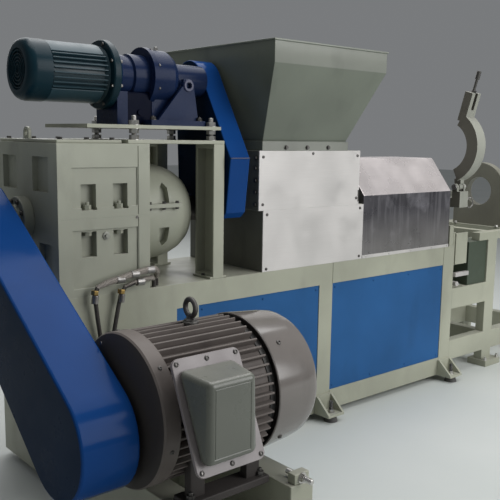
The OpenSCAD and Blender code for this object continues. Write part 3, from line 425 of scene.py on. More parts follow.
class Shape:
    """A mesh being made from simple operator-built parts, in metres."""

    def __init__(self) -> None:
        """Starts an empty shape."""
        self.mesh = bmesh.new()

    def take(self, part: Part, bevel: float = 0.0, segments: int = 2) -> None:
        """Rounds the sharp edges of a finished part and adds it.

        Args:
            part: The part's own bmesh, freed here.
            bevel: Width of the rounding, or 0 for none.
            segments: Steps in the rounding.
        """
        bmesh.ops.recalc_face_normals(part, faces=part.faces[:])
        if bevel > 0:
            sharp = [e for e in part.edges if len(e.link_faces) == 2 and e.calc_face_angle(0) > ROUNDED_OVER]
            round_edges(part, sharp, bevel, segments)
        passing = as_mesh("passing", part)
        self.mesh.from_mesh(passing)
        bpy.data.meshes.remove(passing)

    def made(self, operator: Callable, bevel: float, steps: int = 2, **values: object) -> None:
        """Makes a part with one mesh operator and adds it.

        Args:
            operator: The operator.
            bevel: Width of the rounding, or 0 for none.
            steps: Steps in the rounding.
            values: What the operator is given.
        """
        part = bmesh.new()
        operator(part, **values)
        self.take(part, bevel, steps)

    def block(self, low: Vector, high: Vector, bevel: float = 0.002) -> None:
        """Adds a rectangular block between its lowest and its highest corner."""
        place = Matrix.LocRotScale((low + high) / 2, None, high - low)
        self.made(bmesh.ops.create_cube, bevel, size=1.0, matrix=place)

    def fin(self, start: Vector, angle: float, size: Vector, foot: float, bevel: float, steps: int = 2) -> None:
        """Adds a cooling fin along the machine, with its foot at a radius and its angle in degrees from upright."""
        lift = Matrix.LocRotScale(Vector((size.x / 2, 0, foot + size.z / 2)), None, size)
        self.made(bmesh.ops.create_cube, bevel, steps, size=1.0,
                  matrix=Matrix.Translation(start) @ Matrix.Rotation(math.radians(angle), 4, "X") @ lift)

    def bar(self, start: Vector, way: Way, length: float, radius: float, sides: int = 32, bevel: float = 0.0) -> None:
        """Adds a round bar from the middle of its first end; 6 sides make a nut or a bolt head."""
        place = Matrix.Translation(start + direction(way) * length / 2) @ turn_to(way).to_4x4()
        self.made(bmesh.ops.create_cone, bevel, cap_ends=True, segments=sides, radius1=radius, radius2=radius,
                  depth=length, matrix=place)

    def turned(self, start: Vector, way: Way, profile: Profile, steps: int = 48, bevel: float = 0.0) -> None:
        """Adds a turned piece from its profile, with an open end closed by a flat disc.

        Args:
            start: Where the profile's distances start.
            way: The axis that it turns about.
            profile: Pairs of distance along the axis and radius.
            steps: Steps round the turn.
            bevel: Width of the rounding on its sharp edges.
        """
        part = bmesh.new()
        turn = turn_to(way)
        points = [part.verts.new(start + turn.col[2] * s + turn.col[0] * r) for s, r in profile]
        for pair in zip(points, points[1:]):
            part.edges.new(pair)
        self.spin(part, start, turn.col[2], steps)
        open_rims = [edge for edge in part.edges if edge.is_boundary]
        if open_rims:
            bmesh.ops.holes_fill(part, edges=open_rims, sides=0)
        bmesh.ops.dissolve_degenerate(part, edges=part.edges[:], dist=MERGE)
        self.take(part, bevel)

    def spin(self, part: Part, centre: Vector, axis: Vector, steps: int) -> None:
        """Turns a part's outline once round an axis and merges where its ends meet."""
        bmesh.ops.spin(part, geom=part.verts[:] + part.edges[:], cent=centre, axis=axis, angle=math.tau, steps=steps,
                       use_merge=True, use_duplicate=False)
        bmesh.ops.remove_doubles(part, verts=part.verts[:], dist=MERGE)

    def loop(self, centre: Vector, way: Way, radius: float, thick: float, steps: int = 40) -> None:
        """Adds a ring of round wire.

        Args:
            centre: The ring's middle.
            way: The ring's axis.
            radius: Radius to the wire's middle.
            thick: The wire's radius.
            steps: Steps round the ring.
        """
        part = bmesh.new()
        turn = turn_to(way)
        place = Matrix.Translation(centre + turn.col[0] * radius) @ turn_to(turn.col[1]).to_4x4()
        bmesh.ops.create_circle(part, cap_ends=False, segments=12, radius=thick, matrix=place)
        self.spin(part, centre, turn.col[2], steps)
        self.take(part)

    def hexagon(self, face: Vector, way: Way, across: float, height: float, stud: float = 0.0) -> None:
        """Adds a hexagon bolt head on a washer, or a nut with a stud's end through it.

        Args:
            face: Where it sits.
            way: The way it stands out.
            across: Corner radius of the hexagon.
            height: Height of the hexagon.
            stud: How far a stud stands out past it.
        """
        out = direction(way)
        self.bar(face - out * 0.0005, out, 0.0025, across * 1.25, sides=24)
        self.bar(face + out * 0.002, out, height, across, sides=6, bevel=across * 0.06)
        if stud > 0:
            self.bar(face + out * height, out, stud, across * 0.5, sides=16, bevel=across * 0.08)

    def screw(self, face: Vector, way: Way, radius: float) -> None:
        """Adds a domed screw head with a dark socket, which stands out from a face."""
        dome = ((0.25, 1.0), (0.5, 0.8), (0.6, 0.48), (0.3, 0.44), (0.3, 0.0))
        self.turned(face, way, [(-0.0004, radius), *((radius * s, radius * r) for s, r in dome)], 20)

    def copied(self, node: str, bevel: float, merge: float = SLIVER) -> "Shape":
        """Takes a copy of a frame piece, merged, with rounded edges.

        Args:
            node: The frame piece's name.
            bevel: Width of the rounding.
            merge: Points closer than this become one, so that slivers don't stop the rounding.

        Returns:
            This shape.
        """
        part = bmesh.new()
        part.from_mesh(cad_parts[node].data)
        bmesh.ops.remove_doubles(part, verts=part.verts[:], dist=merge)
        bmesh.ops.dissolve_degenerate(part, edges=part.edges[:], dist=merge / 4)
        bmesh.ops.dissolve_limit(part, angle_limit=0.012, verts=part.verts[:], edges=part.edges[:],
                                 use_dissolve_boundaries=False, delimit={"NORMAL"})
        self.take(part, bevel)
        return self

    def done(self, name: str, finish: Finish, node: str = "", body: str = MACHINE) -> Piece:
        """Turns the shape into a finished piece of the scene.

        Args:
            name: The piece's name.
            finish: The finish that it gets.
            node: The frame piece that it takes the place of, if any.
            body: The frame body that it moves with.

        Returns:
            The new object.
        """
        data = as_mesh(name, self.mesh)
        data.shade_smooth()
        data.set_sharp_from_angle(angle=SHADED_SHARP)
        data.materials.append(finish.material())
        piece = put_in_scene(name, data)
        piece.modifiers.new("even shading", "WEIGHTED_NORMAL").keep_sharp = True
        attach(piece, body)
        if node:
            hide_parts(node)
        log.info("%s: %d faces", name, len(data.polygons))
        return piece


def rounded(node: str, finish: Finish, bevel: float = 0.003, body: str = MACHINE,
            merge: float = SLIVER) -> Piece:
    """Shows a frame piece with softened edges and its finish, and gives the piece that stands for it."""
    return Shape().copied(node, bevel, merge).done(node + "_finished", finish, node, body)


def second_finish(piece: Piece, finish: Finish, test: Callable[[bpy.types.MeshPolygon], bool]) -> None:
    """Gives the faces that pass a test a second finish."""
    piece.data.materials.append(finish.material())
    for face in piece.data.polygons:
        face.material_index = int(test(face))


def face_finish(piece: Piece, finish: Finish, way: Axis, least: float) -> None:
    """Gives the faces that look one way, at least so closely (0 to 1), a second finish."""
    second_finish(piece, finish, lambda face: face.normal.dot(way.vector) > least)


def low_high(node: str) -> tuple[Vector, Vector]:
    """Gives a frame piece's lowest and highest corners."""
    low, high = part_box(node)
    return Vector(low), Vector(high)


def middle(node: str) -> Vector:
    """Gives the middle of a frame piece's box."""
    low, high = low_high(node)
    return (low + high) / 2


def shifted(point: Vector, x: float) -> Vector:
    """Gives the point with the same width and height at another place along the machine."""
    return Vector((x, point.y, point.z))


def outward(angle: float) -> Vector:
    """Gives the direction away from an axis along the machine, at an angle in degrees from straight up."""
    return Matrix.Rotation(math.radians(angle), 3, "X") @ Axis.UP.vector


def around(count: int, first: float = 0.0) -> list[Vector]:
    """Gives directions spread evenly round an axis along the machine, from a first angle in degrees."""
    return [outward(first + 360 * i / count) for i in range(count)]


def thread_profile(radius: float, length: float, pitch: float) -> list[tuple[float, float]]:
    """Gives the zigzag profile of a threaded rod.

    Args:
        radius: The thread's outer radius.
        length: The rod's length.
        pitch: Distance from thread to thread.

    Returns:
        Pairs of distance and radius.
    """
    turns = max(1, int(length / pitch))
    points = [(0.0, 0.0)]
    for i in range(turns):
        points += [(i * pitch, radius * 0.86), ((i + 0.5) * pitch, radius)]
    return points + [(turns * pitch, radius * 0.8), (turns * pitch, 0.0)]


@dataclass
class BaseFrame:
    """The welded base with its blue panels, panel screws, levelling feet and weld beads."""

    panels: tuple[str, ...] = ("panel_narrow", "panel_middle", "panel_end", "panel_rear_middle", "panel_rear_end")
    feet: tuple[str, ...] = ("front_drive", "front_middle", "front_end", "rear_drive", "rear_middle", "rear_end")
    screw_r: float = 0.0055
    screw_gap: float = 0.34
    edge: float = 0.022
    bracket_top: float = 0.048
    bead_r: float = 0.0022
    bead_out: float = 0.0004
    rail_foot: float = 0.036

    def build(self) -> None:
        """Makes every piece of the base."""
        rounded("base_frame", SAGE, 0.003)
        for name in self.panels:
            rounded(name, BLUE, 0.0015)
        for name in self.feet:
            rounded("foot_" + name, PAD, 0.002)
        self.panel_screws()
        self.foot_nuts()
        self.joint_beads()

    def panel_screws(self) -> None:
        """Sets a row of screws along the top and the foot of each wide panel."""
        shape = Shape()
        for name in self.panels[1:]:
            low, high = low_high(name)
            out, face = (Axis.BACK, high.y) if "rear" in name else (Axis.FRONT, low.y)
            width = high.x - low.x
            count = max(2, round(width / self.screw_gap))
            for i in range(count + 1):
                x = low.x + self.edge + (width - 2 * self.edge) * i / count
                for z in (low.z + self.edge, high.z - self.edge):
                    shape.screw(Vector((x, face, z)), out, self.screw_r)
        shape.done("panel_screws", BLUE)

    def foot_nuts(self) -> None:
        """Puts a locknut and stud end on each levelling foot's bracket."""
        shape = Shape()
        for name in self.feet:
            top = middle("foot_" + name)
            top.z = self.bracket_top
            shape.hexagon(top, Axis.UP, 0.017, 0.014)
            shape.turned(top, Axis.UP, thread_profile(0.0102, 0.060, 0.003), 20)
        shape.done("foot_nuts", STEEL)

    def joint_beads(self) -> None:
        """Lays weld beads where the end posts and rails meet on the front."""
        shape = Shape()
        low, high = low_high("panel_end")
        front = CORNER.y - self.bead_out
        for x in (low.x, high.x):
            shape.bar(Vector((x, front, high.z)), Axis.UP, CORNER.z - high.z, self.bead_r, sides=8)
            shape.bar(Vector((x, front, low.z)), Axis.DOWN, low.z - self.rail_foot, self.bead_r, sides=8)
        shape.done("rail_weld_beads", SAGE)


@dataclass
class GearCase:
    """The split gear case with its bolts, plug, input cap, lid and thrust housing."""

    pocket_x: tuple[float, ...] = (138.0, 285.0)
    pocket_back: float = 42.0
    pocket_up: float = 34.0
    pocket_down: float = 54.0
    bolt: float = 0.017
    lid_top: float = 1481.0
    lid_edge: float = 0.03
    rib_bolts: tuple[float, ...] = (465.0, 540.0, 610.0)

    def build(self) -> None:
        """Makes every piece of the gear case."""
        for node in ("gear_case_lower", "gear_case_upper", "gear_lid", "input_bearing_cap", "thrust_housing"):
            rounded(node, SAGE_CAST, 0.004)
        rounded("screw_neck", DARK_STEEL, 0.002)
        rounded("input_shaft", STEEL, 0.001)
        self.case_bolts()
        self.cap_and_lid()
        self.plug()
        self.housing_bolts()

    def case_bolts(self) -> None:
        """Puts a nut and stud in the foot of each upper bolt pocket and a head in each lower one."""
        shape = Shape()
        low, high = low_high("gear_case_upper")
        split, depth = low.z * 1000, (high.y - CORNER.y) * 1000
        for x in self.pocket_x:
            for y in (self.pocket_back / 2, depth - self.pocket_back / 2):
                shape.hexagon(at(x, y, split + self.pocket_up), Axis.UP, self.bolt, 0.018, 0.014)
                shape.hexagon(at(x, y, split - self.pocket_down), Axis.DOWN, self.bolt, 0.015)
        shape.done("case_bolts", SAGE_CAST)

    def cap_and_lid(self) -> None:
        """Makes the bolts of the input cap and of the lid."""
        shape = Shape()
        centre = shifted(middle("input_bearing_cap"), at(-45, 0, 0).x)
        for out in around(8, 22.5):
            shape.hexagon(centre + out * 0.076, Axis.DRIVE, 0.009, 0.008)
        low, high = low_high("gear_lid")
        top = self.lid_top / 1000
        for x in (low.x + self.lid_edge, middle("gear_lid").x, high.x - self.lid_edge):
            for y in (low.y + self.lid_edge, high.y - self.lid_edge):
                shape.hexagon(Vector((x, y, top)), Axis.UP, 0.010, 0.008)
        shape.done("cap_and_lid_bolts", DARK_STEEL)

    def plug(self) -> None:
        """Makes the oil plug and the dowel's end on the case's front."""
        plug = Shape()
        face = at(216, 8, 1091)
        plug.turned(face, Axis.FRONT, [(-0.002, 0.016), (0.005, 0.016), (0.006, 0.0125), (0.006, 0.0)], 32)
        plug.bar(face + Axis.FRONT.vector * 0.005, Axis.FRONT, 0.009, 0.009, sides=6, bevel=0.0006)
        plug.done("oil_plug", OLIVE)
        dowel = Shape()
        dowel.turned(at(360, 0, 1160), Axis.FRONT, [(-0.002, 0.006), (0.002, 0.006), (0.002, 0.0)], 16)
        dowel.done("dowel_end", DARK_STEEL)

    def housing_bolts(self) -> None:
        """Adds the bolts of the thrust housing's split ribs."""
        bolts = Shape()
        centre = middle("input_shaft")
        for side in (-1, 1):
            for x in self.rib_bolts:
                seat = shifted(centre, at(x, 0, 0).x) + Vector((0, side * 0.236, 0.054))
                bolts.hexagon(seat, Axis.UP, 0.008, 0.008)
                bolts.hexagon(seat - Vector((0, 0, 0.018)), Axis.DOWN, 0.008, 0.007)
        bolts.done("housing_bolts", DARK_STEEL)


@dataclass
class FeederDrive:
    """Posts, plates, threaded studs, feeder motor, reducer and feeder guard."""

    posts: tuple[str, ...] = ("support_post_front", "support_post_rear")
    studs: tuple[str, ...] = ("stud_front_left", "stud_front_right", "stud_rear_left", "stud_rear_right")
    foot_t: float = 0.010
    core: float = 0.102
    fins_per_side: int = 8
    fin_t: float = 0.0046
    fin_h: float = 0.024
    fin_r: float = 0.122
    pad_half: float = 52.0
    pad_steps: int = 14
    flange_t: float = 0.040
    cover_rings: int = 5

    def __post_init__(self) -> None:
        """Reads the motor's drive end, where its axis starts, and its other end from the frame."""
        low, high = low_high("feeder_motor")
        self.start, self.end = (shifted(middle("feeder_motor"), x) for x in (low.x, high.x))

    def build(self) -> None:
        """Makes every piece of the feeder drive."""
        for node in (*self.posts, "under_plate", "mount_plate"):
            rounded(node, SAGE, 0.0025)
        self.post_feet()
        self.threaded_studs()
        self.motor()
        self.reducer()
        self.guard()

    def post_feet(self) -> None:
        """Makes the foot plate and bolts under each post."""
        plates, bolts = Shape(), Shape()
        for node in self.posts:
            low, high = low_high(node)
            top = low.z + self.foot_t
            plates.block(low - Vector((0.016, -0.002, -0.001)), Vector((high.x + 0.020, high.y - 0.002, top)))
            for x in (low.x - 0.005, high.x + 0.009):
                bolts.hexagon(Vector((x, middle(node).y, top)), Axis.UP, 0.008, 0.007)
        plates.done("post_foot_plates", SAGE)
        bolts.done("post_foot_bolts", DARK_STEEL)

    def threaded_studs(self) -> None:
        """Makes the four threaded studs with their nuts."""
        plate_low, plate_high = low_high("mount_plate")
        for node in self.studs:
            low, high = low_high(node)
            foot = middle(node)
            foot.z = low.z
            shape = Shape()
            shape.turned(foot, Axis.UP, thread_profile(0.011, high.z - low.z, 0.0035), 24)
            for z, way in ((low.z, Axis.UP), (plate_low.z, Axis.DOWN), (plate_high.z, Axis.UP)):
                shape.hexagon(Vector((foot.x, foot.y, z)), way, 0.0215, 0.018)
            shape.done(node + "_threaded", STEEL, node)

    def motor(self) -> None:
        """Makes the finned feeder motor with its pads, flange, fan cover and terminal box."""
        start, flange = self.start, self.end.x - self.flange_t
        length = flange - start.x
        shape = Shape()
        shape.bar(start, Axis.ALONG, length, self.core, sides=64)
        step = (180 - 2 * self.pad_half) / self.fins_per_side
        side = [self.pad_half + step * (i + 0.5) for i in range(self.fins_per_side)]
        size = Vector((length - 0.016, self.fin_t, self.fin_h))
        for angle in side + [-a for a in side]:
            shape.fin(start + Vector((0.004, 0, 0)), angle, size, self.fin_r - self.fin_h, 0.0009)
        for turn in (0.0, 180.0):
            shape.take(self.pad(turn, length - 0.022), 0.003, 3)
        shape.turned(shifted(start, flange), Axis.ALONG,
                     [(-0.02, self.core), (0.0, 0.118), (0.003, 0.142), (0.008, 0.146), (0.034, 0.146),
                      (0.040, 0.141), (0.040, 0.0)], 72, 0.001)
        # The body is painted lighter as sheen; only the flange keeps the plain teal.
        body = shape.done("feeder_motor_body", TEAL_FINS_SHEEN, "feeder_motor")
        second_finish(body, TEAL, lambda face: face.center.x > flange - 0.001)
        self.fan_cover()
        box = Shape()
        rear = start + Vector((0, self.fin_r, 0))
        box.block(rear + Vector((0.06, -0.012, -0.05)), rear + Vector((0.19, 0.05, 0.05)), 0.006)
        box.done("feeder_terminal_box", TEAL)

    def pad(self, turn: float, length: float) -> Part:
        """Shapes one smooth pad of the motor's body, an arc from its core to the fins' tips.

        Args:
            turn: Its middle's angle from straight up, in degrees.
            length: Its length.

        Returns:
            The pad's bmesh.
        """
        part = bmesh.new()
        arc = [outward(turn + self.pad_half * (2 * i / self.pad_steps - 1)) for i in range(self.pad_steps + 1)]
        ring = [out * self.fin_r for out in arc] + [out * (self.core - 0.002) for out in reversed(arc)]
        start = self.start + Vector((0.002, 0, 0))
        points = [part.verts.new(start + place) for place in ring]
        grown = bmesh.ops.extrude_face_region(part, geom=[part.faces.new(points)])["geom"]
        moved = [item for item in grown if isinstance(item, bmesh.types.BMVert)]
        bmesh.ops.translate(part, verts=moved, vec=Axis.ALONG.vector * length)
        return part

    def fan_cover(self) -> None:
        """Makes the pressed fan cover with its grille rings and spokes."""
        low, high = low_high("feeder_fan_cover")
        r, length = (high.z - low.z) / 2, high.x - low.x
        start = shifted(self.start, low.x)
        shape = Shape()
        shape.turned(start, Axis.ALONG,
                     [(length - 0.002, r - 0.006), (length, r), (0.036, r), (0.022, r - 0.003), (0.011, r - 0.009),
                      (0.004, r - 0.017), (0.0, r - 0.027), (0.0, 0.082), (0.006, 0.080), (0.020, 0.080),
                      (0.020, 0.0)], 72)
        for i in range(self.cover_rings):
            shape.loop(start + Vector((0.005, 0, 0)), Axis.ALONG, 0.018 + i * 0.014, 0.0024)
        for spoke in around(6):
            shape.bar(start + Vector((0.007, 0, 0)) + spoke * 0.006, spoke, 0.077, 0.0022, sides=8)
        shape.done("feeder_fan_cover_pressed", TEAL, "feeder_fan_cover")

    def reducer(self) -> None:
        """Finishes the reducer and adds its flange and foot bolts, lug rings, sump and vent."""
        rounded("feeder_reducer", NAVY, 0.004)
        ring = shifted(self.end, at(539, 0, 0).x)
        bolts = Shape()
        for out in around(8, 22.5):
            bolts.hexagon(self.end + out * 0.133 - Vector((0.032, 0, 0)), Axis.DRIVE, 0.008, 0.009)
            bolts.hexagon(self.end + out * 0.130, Axis.ALONG, 0.008, 0.009)
            bolts.hexagon(ring + out * 0.128, Axis.ALONG, 0.006, 0.006)
        for x in (500, 750):
            for y in (90, 350):
                bolts.hexagon(at(x, y, 1569), Axis.UP, 0.013, 0.012, 0.006)
        bolts.done("reducer_bolts", DARK_STEEL)
        eyes = Shape()
        for y, way in ((97, Axis.FRONT), (343, Axis.BACK)):
            eyes.turned(at(694.6, y, 1725), way, [(-0.004, 0.027), (0.004, 0.027), (0.006, 0.024), (0.006, 0.015),
                                                  (-0.004, 0.013), (-0.004, 0.027)], 40, 0.0008)
        eyes.done("lug_rings", SLATE)
        sump = Shape()
        sump.block(at(392, 136, 1546), at(530, 304, 1688), 0.010)
        sump.bar(at(462, 137, 1600), Axis.FRONT, 0.008, 0.014, sides=6, bevel=0.001)
        # The sump is painted dark as shade.
        sump.done("reducer_sump", NAVY_SHADE)
        vent = Shape()
        vent.hexagon(shifted(self.end, at(600, 0, 0).x) + Vector((0, 0, 0.122)), Axis.UP, 0.010, 0.014, 0.006)
        vent.done("reducer_vent", STEEL)

    def guard(self) -> None:
        """Makes the feeder guard, with a shaded side towards the motor and a fold line across its rim."""
        face_finish(rounded("feeder_guard", GUARD_BLUE, 0.004), GUARD_SHADE, Axis.DRIVE, 0.95)
        fold = Shape()
        fold.block(at(841, -33.5, 1402), at(954, -28, 1407), 0.0008)
        fold.done("feeder_guard_fold", SLATE)


@dataclass
class FeedBox:
    """Feed box with its steel sheets, screws, side flange bolts and the hopper above."""

    sheet_screws: Profile = ((1065, 1408), (1400, 1424), (1735, 1412), (1065, 1180), (1735, 1186), (1095, 862),
                             (1775, 866), (1770, 1130), (1095, 1130))
    side_bolts: tuple[float, ...] = (1180, 1240, 1297, 1355, 1404)
    flange_bolts: tuple[float, ...] = (1211, 1356, 1506)

    def build(self) -> None:
        """Makes the feed box, its sheets and the hopper."""
        # The feed box's faces towards the drive get painted shade.
        face_finish(rounded("feed_box", SAGE, 0.003), SHADED, Axis.DRIVE, 0.9)
        rounded("upper_sheet", SHEET, 0.001)
        rounded("lower_sheet", SHEET, 0.001)
        # The hopper is darkened all over as painted shade; its front band gets painted light and is lighter than the
        # cone.
        face_finish(rounded("hopper", HOPPER_PAINTED_SHADE, 0.0018, merge=1.2e-3), HOPPER_BAND_PAINTED_LIGHT, Axis.FRONT, 0.995)
        screws = Shape()
        for x, z in self.sheet_screws:
            screws.screw(at(x, 0, z), Axis.FRONT, 0.0075)
        screws.done("sheet_screws", DARK_STEEL)
        bolts = Shape()
        for z in self.side_bolts:
            for y in (24, 576):
                bolts.hexagon(at(1040, y, z), Axis.DRIVE, 0.009, 0.008)
        for x in self.flange_bolts:
            for y, way in ((0, Axis.FRONT), (600, Axis.BACK)):
                bolts.hexagon(at(x, y, 1454), way, 0.009, 0.008)
        bolts.done("feed_box_bolts", DARK_STEEL)
        # A black strip stands in for the shade in the gap at the sheet's edge.
        slot = Shape()
        slot.block(at(1748, -2, 1166), at(1756, 2, 1228), 0.0005)
        slot.done("sheet_edge_slot_shade", HOSE)


@dataclass
class BarrelCover:
    """The folded steel cover over the barrel, the barrel and its rest."""

    screws_at: tuple[float, ...] = (1830, 2030, 2230, 2430, 2585)

    def build(self) -> None:
        """Makes the cover, dark as painted reflection and lighter on the faces that look up as painted bright
        reflection, with its hem and screws, the barrel and its rest.
        """
        # The cover is dark as painted reflection and bright on top as painted reflection.
        cover = Shape().copied("barrel_cover", 0.006).done("barrel_cover_folded", COVER, "barrel_cover")
        face_finish(cover, COVER_TOP_REFLECTION, Axis.UP, 0.3)
        rounded("barrel", OLIVE, 0.003)
        rounded("barrel_rest", SAGE, 0.002)
        low, high = low_high("barrel_cover")
        hem = Shape()
        hem.block(Vector((low.x + 0.002, low.y - 0.0012, low.z)),
                  Vector((high.x - 0.001, low.y + 0.001, low.z + 0.018)), 0.0005)
        hem.done("cover_hem", SHEET)
        screws = Shape()
        for x in self.screws_at:
            screws.screw(at(x, -1, 857), Axis.FRONT, 0.0045)
        screws.done("cover_screws", STEEL)


@dataclass
class Clamp:
    """The discharge clamp: fixed half, hinged half standing open, pin, bolt and loop handle."""

    loop_r: float = 0.033
    bevel: float = 0.006
    end_face: float = 0.7

    def build(self) -> None:
        """Makes every piece of the clamp, with painted shade on both halves' end faces."""
        for node, body in (("clamp_lower", MACHINE), ("clamp_upper", CLAMP)):
            half = rounded(node, OLIVE, self.bevel, body)
            # End faces get painted shade.
            second_finish(half, OLIVE_PAINTED_SHADE, lambda face: abs(face.normal.x) > self.end_face)
        rounded("hinge_pin", STEEL, 0.001)
        rounded("clamp_bolt", DARK_STEEL, 0.001, CLAMP)
        self.handle()

    def handle(self) -> None:
        """Makes the wire loop that hangs from the fixed half's front block, and the eye that holds it."""
        shape = Shape()
        shape.loop(at(2830, 12, 1112), Axis.BACK, self.loop_r, 0.004)
        shape.bar(at(2794, 12, 1143), Axis.ALONG, 0.022, 0.007, sides=16, bevel=0.001)
        shape.loop(at(2820, 12, 1143), Axis.UP, 0.010, 0.004, 24)
        shape.done("clamp_loop", FITTING)


@dataclass
class DischargeStand:
    """The discharge stand with its bored plate, green box, bolts, side plate and small bracket."""

    sole_x: tuple[float, ...] = (3064, 3204, 3614, 3744)
    plate_x: tuple[float, ...] = (3357, 3443)

    def build(self) -> None:
        """Makes every piece of the stand."""
        rounded("discharge_stand", SAGE, 0.0025)
        rounded("bored_plate", BORED, 0.004)
        rounded("stand_box", GREEN, 0.004)
        bolts = Shape()
        for x in self.sole_x:
            for y in (-22, 622):
                bolts.hexagon(at(x, y, 40), Axis.UP, 0.013, 0.012, 0.012)
        for y in (135, 465):
            for x in self.plate_x:
                bolts.hexagon(at(x, y, 909), Axis.UP, 0.012, 0.011)
        bolts.done("stand_bolts", STEEL)
        plate = Shape()
        plate.block(at(2694, 4, 725), at(2818, 12, 925), 0.001)
        plate.block(at(2676, 12, 720), at(2700, 40, 930), 0.001)
        plate.done("stand_side_plate", SAGE)
        bar = Shape()
        bar.block(at(2676, -18, 650), at(2820, 6, 676))
        bar.bar(at(2720, -2, 600), Axis.BACK, 0.03, 0.016, sides=24, bevel=0.002)
        bar.done("stand_bracket", SHEET)


@dataclass
class MainMotor:
    """Main motor: finned body, end bell, fan cowl, terminal box, eye bolt, bed and shaft."""

    radius: float = 0.262
    fins: int = 48
    fin_t: float = 0.0075
    fin_depth: float = 0.028
    fin_sunk: float = 0.006
    foot_t: float = 0.028
    grille_rings: int = 9
    intake: float = 0.020
    bell_lap: float = 0.018
    cowl_screws: tuple[float, ...] = (129, 45, -45, -129)
    box_lean: float = -24.0

    def __post_init__(self) -> None:
        """Reads the motor's axis, at the body's drive end, and the body's other end from the frame."""
        self.axis = shifted(middle("motor_end_bell"), low_high("motor_end_bell")[1].x)
        self.body_end = low_high("motor_cowl")[0].x

    def build(self) -> None:
        """Makes every piece of the main motor."""
        self.body()
        self.end_bell()
        self.cowl()
        self.terminal_box()
        self.eye_bolt()
        self.bed()
        rounded("motor_shaft", STEEL, 0.001)

    def body(self) -> None:
        """Makes the finned body, its feet, painted dark as shade, with their bolts, and a black ring of painted shade
        in the gap at the cowl.
        """
        core = self.radius - self.fin_depth
        length = self.body_end - self.axis.x
        size = Vector((length - self.intake, self.fin_t, self.fin_depth + self.fin_sunk))
        shape = Shape()
        shape.bar(self.axis - Vector((0.002, 0, 0)), Axis.ALONG, length + 0.004, core, sides=96)
        for i in range(self.fins):
            shape.fin(self.axis, 360 * i / self.fins, size, core - self.fin_sunk, 0.0026, 3)
        shape.done("main_motor_body", GREY, "main_motor")
        ground = low_high("main_motor")[0].z
        top = ground + self.foot_t
        feet, gap, bolts = Shape(), Shape(), Shape()
        for side in (-1, 1):
            y = self.axis.y + side * 0.205
            feet.block(Vector((at(20, 0, 0).x, y - 0.045, ground)),
                       Vector((self.body_end - 0.03, y + 0.045, top)), 0.004)
            for x in (at(75, 0, 0).x, self.body_end - 0.085):
                feet.block(Vector((x - 0.03, y - 0.018, ground + 0.01)),
                           Vector((x + 0.03, y + 0.018, self.axis.z - 0.13)), 0.004)
            for x in (at(45, 0, 0).x, self.body_end - 0.055):
                bolts.hexagon(Vector((x, self.axis.y + side * 0.225, top)), Axis.UP, 0.015, 0.013, 0.012)
        # A black ring stands in for the shade in the gap between the fins and the cowl.
        gap_start = shifted(self.axis, self.body_end - self.intake)
        gap.bar(gap_start, Axis.ALONG, self.intake + 0.004, core + 0.004, sides=72)
        # The feet are painted dark as shade beneath the motor.
        feet.done("main_motor_feet", MOTOR_SHADE)
        gap.done("cowl_gap_shade_ring", PAD)
        bolts.done("motor_foot_bolts", DARK_STEEL)

    def end_bell(self) -> None:
        """Makes the drive-end bell, whose rim laps over the fins, and its screws."""
        low, high = low_high("motor_end_bell")
        end, r = high.x - low.x + self.bell_lap, (high.z - low.z) / 2
        start = shifted(self.axis, low.x)
        shape = Shape()
        shape.turned(start, Axis.ALONG,
                     [(end, 0.0), (end, r - 0.003), (end - 0.004, r), (0.032, r), (0.026, r - 0.005),
                      (0.022, r - 0.018), (0.018, r - 0.040), (0.015, r - 0.075), (0.012, 0.120), (0.002, 0.090),
                      (0.0, 0.084), (0.0, 0.0)], 96)
        bell = shape.done("motor_end_bell_cast", GREY, "motor_end_bell")
        # The bell's face towards the drive gets painted shade.
        face_finish(bell, MOTOR_SHADE, Axis.DRIVE, 0.72)
        screws = Shape()
        for out in around(6, 45):
            screws.screw(start + Vector((0.060, 0, 0)) + out * (r - 0.0006), out, 0.0075)
        screws.done("end_bell_screws", DARK_STEEL)

    def cowl(self) -> None:
        """Makes the fan cowl with a rolled front edge, a stepped rear, screws and a grille."""
        low, high = low_high("motor_cowl")
        length, r = high.x - low.x, (high.z - low.z) / 2
        start, end = shifted(self.axis, low.x), shifted(self.axis, high.x)
        shape = Shape()
        shape.turned(start, Axis.ALONG,
                     [(0.060, r - 0.012), (0.001, r - 0.006), (0.0, r - 0.003), (0.004, r), (0.150, r - 0.012),
                      (0.190, r - 0.018), (0.212, r - 0.030), (length - 0.004, r - 0.046), (length, r - 0.060),
                      (length, 0.175), (length - 0.006, 0.172), (length - 0.030, 0.172), (length - 0.030, 0.0)], 96)
        for i in range(self.grille_rings):
            shape.loop(end - Vector((0.006, 0, 0)), Axis.ALONG, 0.03 + i * 0.0175, 0.003, 48)
        for spoke in around(8):
            shape.bar(end - Vector((0.008, 0, 0)) + spoke * 0.009, spoke, 0.167, 0.003, sides=8)
        shape.loop(start + Vector((0.003, 0, 0)), Axis.ALONG, r - 0.004, 0.003, 96)
        shape.done("motor_cowl_pressed", COWL_GREY, "motor_cowl")
        screws = Shape()
        for out in map(outward, self.cowl_screws):
            screws.screw(start + Vector((0.060, 0, 0)) + out * (r - 0.004), out, 0.009)
        screws.done("cowl_screws", DARK_STEEL)

